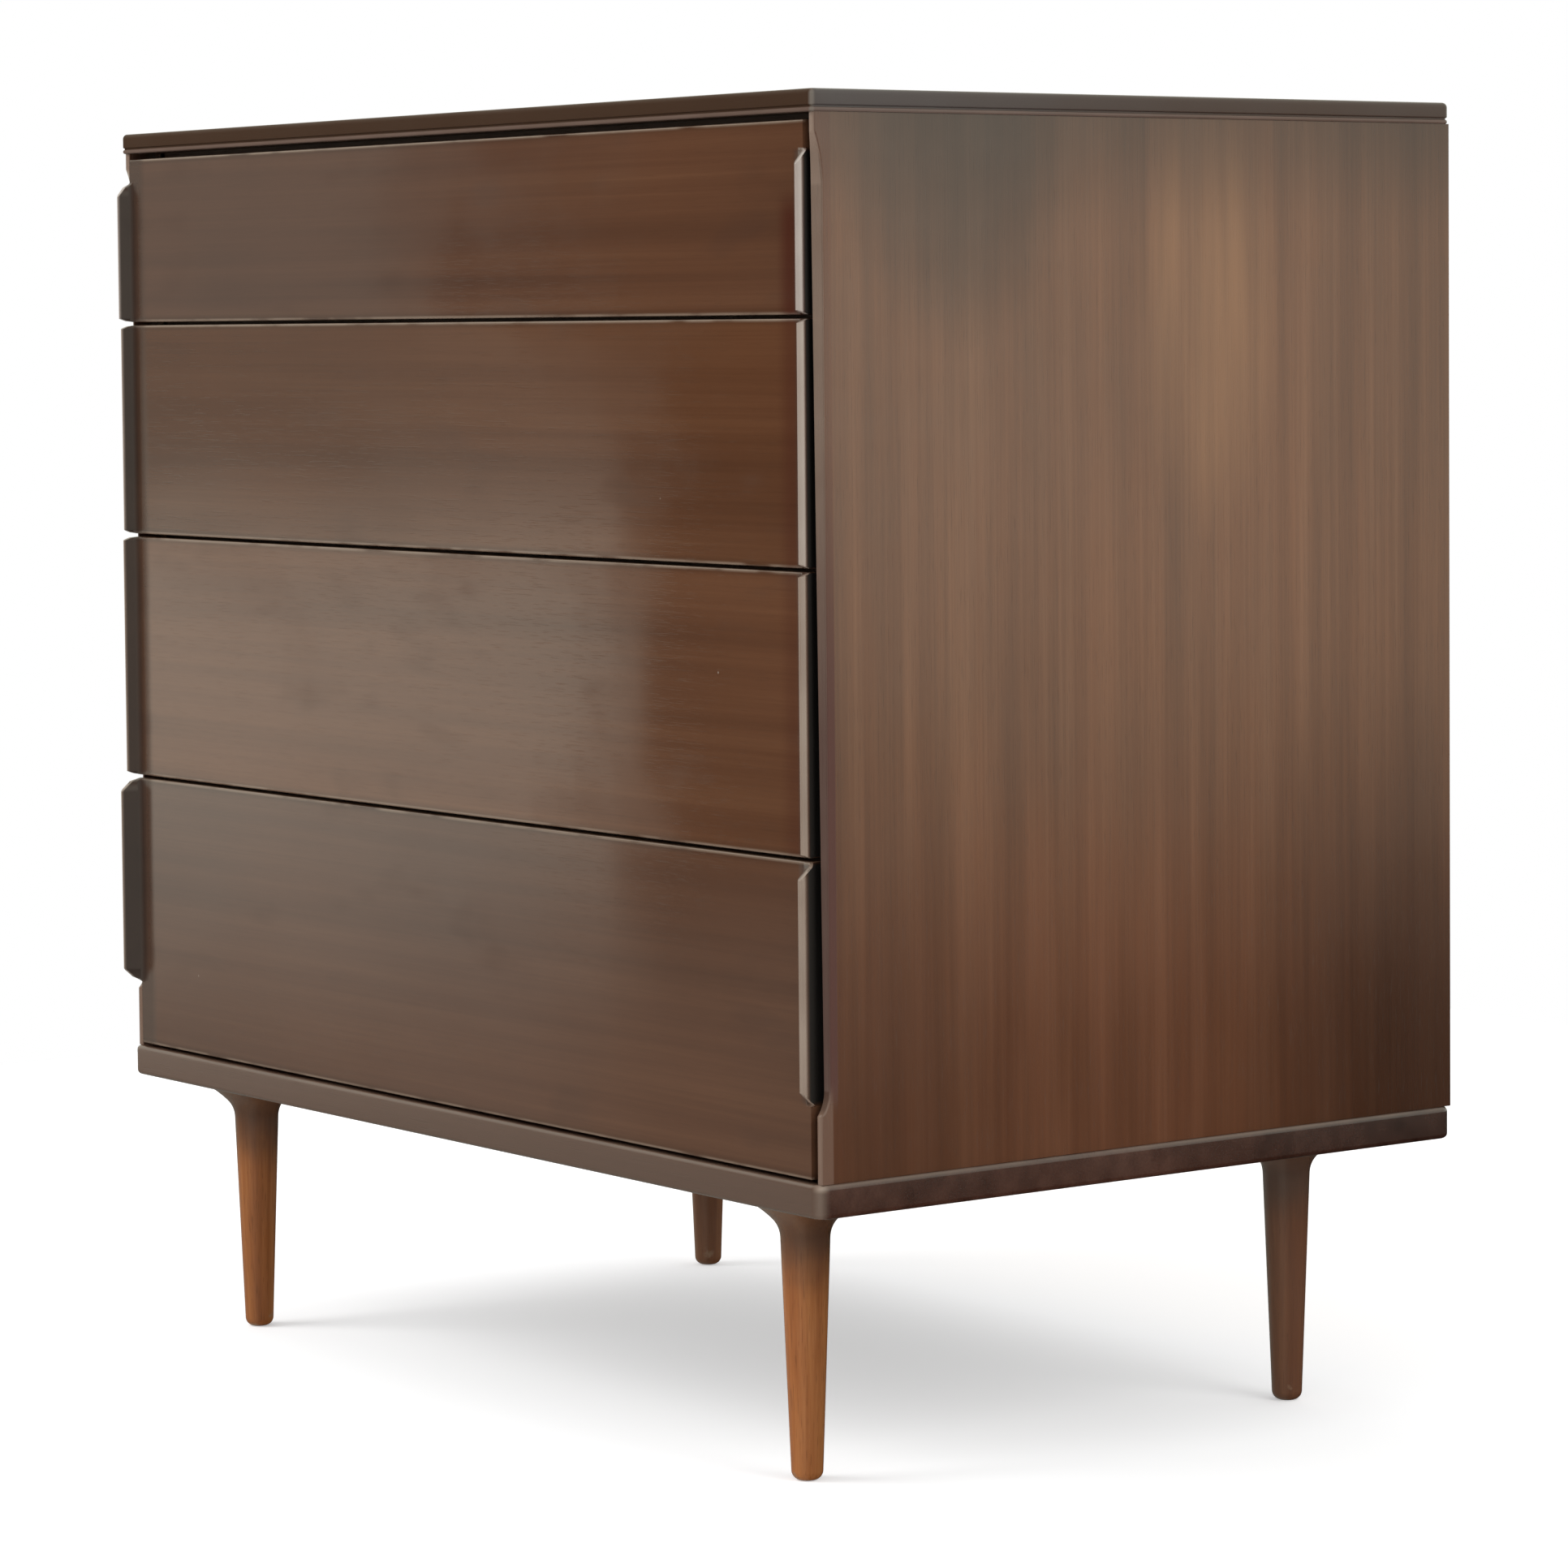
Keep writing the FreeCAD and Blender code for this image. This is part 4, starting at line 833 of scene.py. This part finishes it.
def pull_plan(inner, reach):
    """Plan of a pull: for each point (across, forward), its place on a plain square end, how pale it is from
    use and a painted highlight, and its painted shade.
    """
    root_x = front_end - root
    middle_x, middle_y = root_x + wall / 2 / slant, -wall / 2 * lean / slant
    climb = reach - wall / 2 - middle_y
    tip_x, tip_y = middle_x + climb * lean, middle_y + climb
    hollow_x = front_end - hollow
    bend_x = hollow_x + hollow_radius * (1 - 1 / slant)
    bend_y = (bend_x - root_x - wall / slant) / lean - wall * lean / slant
    start_y = bend_y - hollow_radius * lean / slant
    points = [((inner, -front_thick), (inner, -front_thick), 0, 0)]
    points.append(((hollow_x, -front_thick), (front_end, -front_thick), 0, 1))
    for step in range(7):
        turn = math.radians(180 - lean_angle * step / 6)
        full_x = hollow_x + hollow_radius + hollow_radius * math.cos(turn)
        full = (full_x, start_y + hollow_radius * math.sin(turn))
        points.append((full, (front_end, start_y * (1 - step / 9)), 0, 1))
    bend, flank = points[-1][0], (tip_x + wall / 2 / slant, tip_y - wall / 2 * lean / slant)
    for share, rub_and_highlight, painted_shade in ((0.6, 0, 1), (0.8, 0.2, 0.4)):
        full = tuple(b + (f - b) * share for b, f in zip(bend, flank))
        points.append((full, (front_end, start_y * (3 - share) / 9), rub_and_highlight, painted_shade))
    for step in range(13):
        turn = math.radians(180 * step / 12 - lean_angle)
        full = (tip_x + wall / 2 * math.cos(turn), tip_y + wall / 2 * math.sin(turn))
        if step < 6:
            plain = (front_end, start_y * (1 - 7 / 9) * (1 - step / 6))
        else:
            plain = (front_end - plain_step * (step - 6), 0.0)
        rub_and_highlight, painted_shade = min(1, (12 - step) / 5), max(0, step - 8) / 12
        points.append((full, plain, rub_and_highlight, painted_shade))
    tangent = cove * (slant - lean)
    for step in range(9):
        turn = math.radians(-lean_angle - (90 - lean_angle) * step / 8)
        full = (root_x - tangent + cove * math.cos(turn), cove + cove * math.sin(turn))
        plain_x = front_end - plain_step * 6
        plain = (plain_x - (plain_x - root_x + tangent) * (step + 1) / 9, 0.0)
        points.append((full, plain, 0, 0.35))
    clean_x = points[-1][0][0] - clean_strip
    points.append(((clean_x, 0.0), (clean_x, 0.0), 0, 0))
    points.append(((inner, 0.0), (inner, 0.0), 0, 0))
    return points


for number, (reach, foot_gap, head_gap) in pull_sizes.items():
    low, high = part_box(f"drawer_{number}_front")
    plan = pull_plan(high.x, reach)
    head_slope = long_slope if number in (1, 4) else short_slope
    foot_slope = long_slope if foot_gap else short_slope
    pull_low, pull_high = low.z + foot_gap, high.z - head_gap
    cuts = [(low.z + rise, inset) for inset, rise in quarter(edge_round, 4)]
    if foot_gap:
        cuts.append((pull_low - 2 * sliver, 0))
    first = max(pull_low, low.z + edge_round + sliver)
    cuts += [(first + (pull_low + foot_slope - first) * step / 10, 0) for step in range(11)]
    last, head_start = min(pull_high, high.z - edge_round - sliver), pull_high - head_slope
    cuts += [(head_start + (last - head_start) * step / 10, 0) for step in range(11)]
    if head_gap:
        cuts.append((pull_high + 2 * sliver, 0))
    cuts += [(high.z - rise, inset) for inset, rise in reversed(quarter(edge_round, 4))]
    for side, sign in (("left", -1), ("right", 1)):
        rings, wear_and_highlight_marks, painted_shade = [], [], []
        for z, inset in cuts:
            part = max(0.0, min(1.0, (pull_high - z) / head_slope, (z - pull_low) / foot_slope))
            form = min(1.0, part * 4)
            ring = []
            for (full_x, full_y), (plain_x, plain_y), rub_and_highlight, grime in plan:
                across = plain_x + (full_x - plain_x) * form
                forward = plain_y + (min(full_y, reach * part) - plain_y) * form
                if across > high.x + sliver:
                    across -= inset
                forward = max(-front_thick + inset, forward - inset)
                ring.append((across * sign, low.y - forward, z))
                wear_and_highlight_marks.append(rub_and_highlight * form)
                painted_shade.append(grime * form)
            rings.append(ring)
        pull = loft(f"pull_{number}_{side}", rings, {"worn": wear_and_highlight_marks, "grime": painted_shade})
        pull.data.materials.append(front_woods[number])
        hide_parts(f"drawer_{number}_{side}_pull")
        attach(pull, f"drawer_{number}")

# Studio: a plain pale floor and soft, even light. The room that the lacquer mirrors is bright to the left,
# dark past an upright edge in front of the chest, and darker towards the ground on the right.
spread = 1.5
corners = [(-spread, -spread, 0), (spread, -spread, 0), (spread, spread, 0), (-spread, spread, 0)]
floor = new_mesh("floor", corners, [(0, 1, 2, 3)])
floor.visible_glossy = False
pale_floor = bpy.data.materials.new("pale_floor")
pale_floor.use_nodes = True
paint = Bench(pale_floor.node_tree)
paint.tree.nodes.clear()
matte = paint.node("ShaderNodeBsdfDiffuse", None, {"Color": (0.9, 0.9, 0.9, 1)})
glow = paint.node("ShaderNodeEmission", None, {"Color": (1, 1, 1, 1), "Strength": 0.4})
both = paint.node("ShaderNodeAddShader", None, {0: matte.outputs[0], 1: glow.outputs[0]})
rays = paint.node("ShaderNodeLightPath")
shown = paint.node(
    "ShaderNodeMixShader",
    None,
    {0: rays.outputs["Is Camera Ray"], 1: matte.outputs[0], 2: both.outputs[0]},
)
paint.node("ShaderNodeOutputMaterial", None, {"Surface": shown.outputs[0]})
floor.data.materials.append(pale_floor)
floor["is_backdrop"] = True

world = bpy.data.worlds.new("studio")
bpy.context.scene.world = world
bpy.context.scene.view_settings.view_transform = "Standard"
world.use_nodes = True
world.node_tree.nodes.clear()
room = Bench(world.node_tree)
rays = room.node("ShaderNodeLightPath")
seen = Amount(room.tree, rays.outputs["Is Camera Ray"])
mirrored = Amount(room.tree, rays.outputs["Is Glossy Ray"])
mirrored = mirrored.most(Amount(room.tree, rays.outputs["Is Transmission Ray"]))
east, north, up = room.apart(room.node("ShaderNodeTexCoord").outputs["Generated"])
bearing = room.amount("ShaderNodeMath", {"operation": "ARCTAN2"}, {0: north, 1: east}) * math.degrees(1)
height = room.amount("ShaderNodeMath", {"operation": "ARCSINE"}, {0: up}) * math.degrees(1)
# Bearings are in degrees from +X towards +Y, and heights in degrees above the horizon
edge = bearing + height.rise(-0.2, 0.3) * 2.1
past_edge = edge.rise(-145.65, -145.1) * (1 - bearing.rise(-95, -60))
dark_sector = past_edge * (height.rise(-8.2, -5.5) * 0.75 + 0.2)
low_window = height.rise(-8.2, -3.6) * (1 - height.rise(-3.0, -0.9)) * 0.74
left_room = low_window + height.rise(-9, -5.5) * 0.14 + 0.24
left_room = left_room.most(height.rise(2.5, 8.0))
right_room = height.rise(-7.0, -3.4) + height.rise(0.5, 2.5) * 0.15
rightward = bearing.rise(-60, -20) * (1 - bearing.rise(110, 150))
reflected = left_room * (1 - dark_sector) * (1 - rightward) + right_room * rightward
strength = seen.most(mirrored * reflected).most((1 - seen) * (1 - mirrored) * 0.75)
tint = room.blend(mirrored, (1, 1, 1), (0.97, 1.0, 0.88))
backdrop = room.node("ShaderNodeBackground", None, {"Color": tint, "Strength": strength})
room.node("ShaderNodeOutputWorld", None, {"Surface": backdrop.outputs[0]})

for name, place, aim, width, power in (
    ("soft_key", (-1.6, -2.6, 2.3), (0, 0, 0.4), 2.0, 60),
    ("soft_right", (2.8, 0.6, 2.0), (0.3, 0, 0.4), 1.6, 22),
):
    lamp = bpy.data.lights.new(name, "AREA")
    lamp.shape = "SQUARE"
    lamp.size = width
    lamp.energy = power
    lamp_stand = bpy.data.objects.new(name, lamp)
    bpy.context.collection.objects.link(lamp_stand)
    lamp_stand.location = place
    lamp_stand.rotation_euler = (Vector(aim) - Vector(place)).to_track_quat("-Z", "Y").to_euler()
    lamp_stand.visible_glossy = False

# Camera: at the photograph's own place, a little under the height of the top, looking at the right front
# corner with a long lens.
camera = bpy.data.cameras.new("camera")
camera_stand = bpy.data.objects.new("camera", camera)
bpy.context.collection.objects.link(camera_stand)
bpy.context.scene.camera = camera_stand
sensor, focal_pixels, photo_pixels = 36, 6599, 1932
camera.sensor_width = sensor
camera.lens = focal_pixels / photo_pixels * sensor
camera.shift_y = -0.0999
camera.clip_start, camera.clip_end = 0.05, 100
camera_stand.location = (2.676, -1.9425, 0.644)
yaw, pitch, roll = math.radians(53.68), math.radians(90 - 3.24), math.radians(-0.51)
turned_to = Matrix.Rotation(yaw, 3, "Z") @ Matrix.Rotation(pitch, 3, "X") @ Matrix.Rotation(roll, 3, "Z")
camera_stand.rotation_euler = turned_to.to_euler()

low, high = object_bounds()
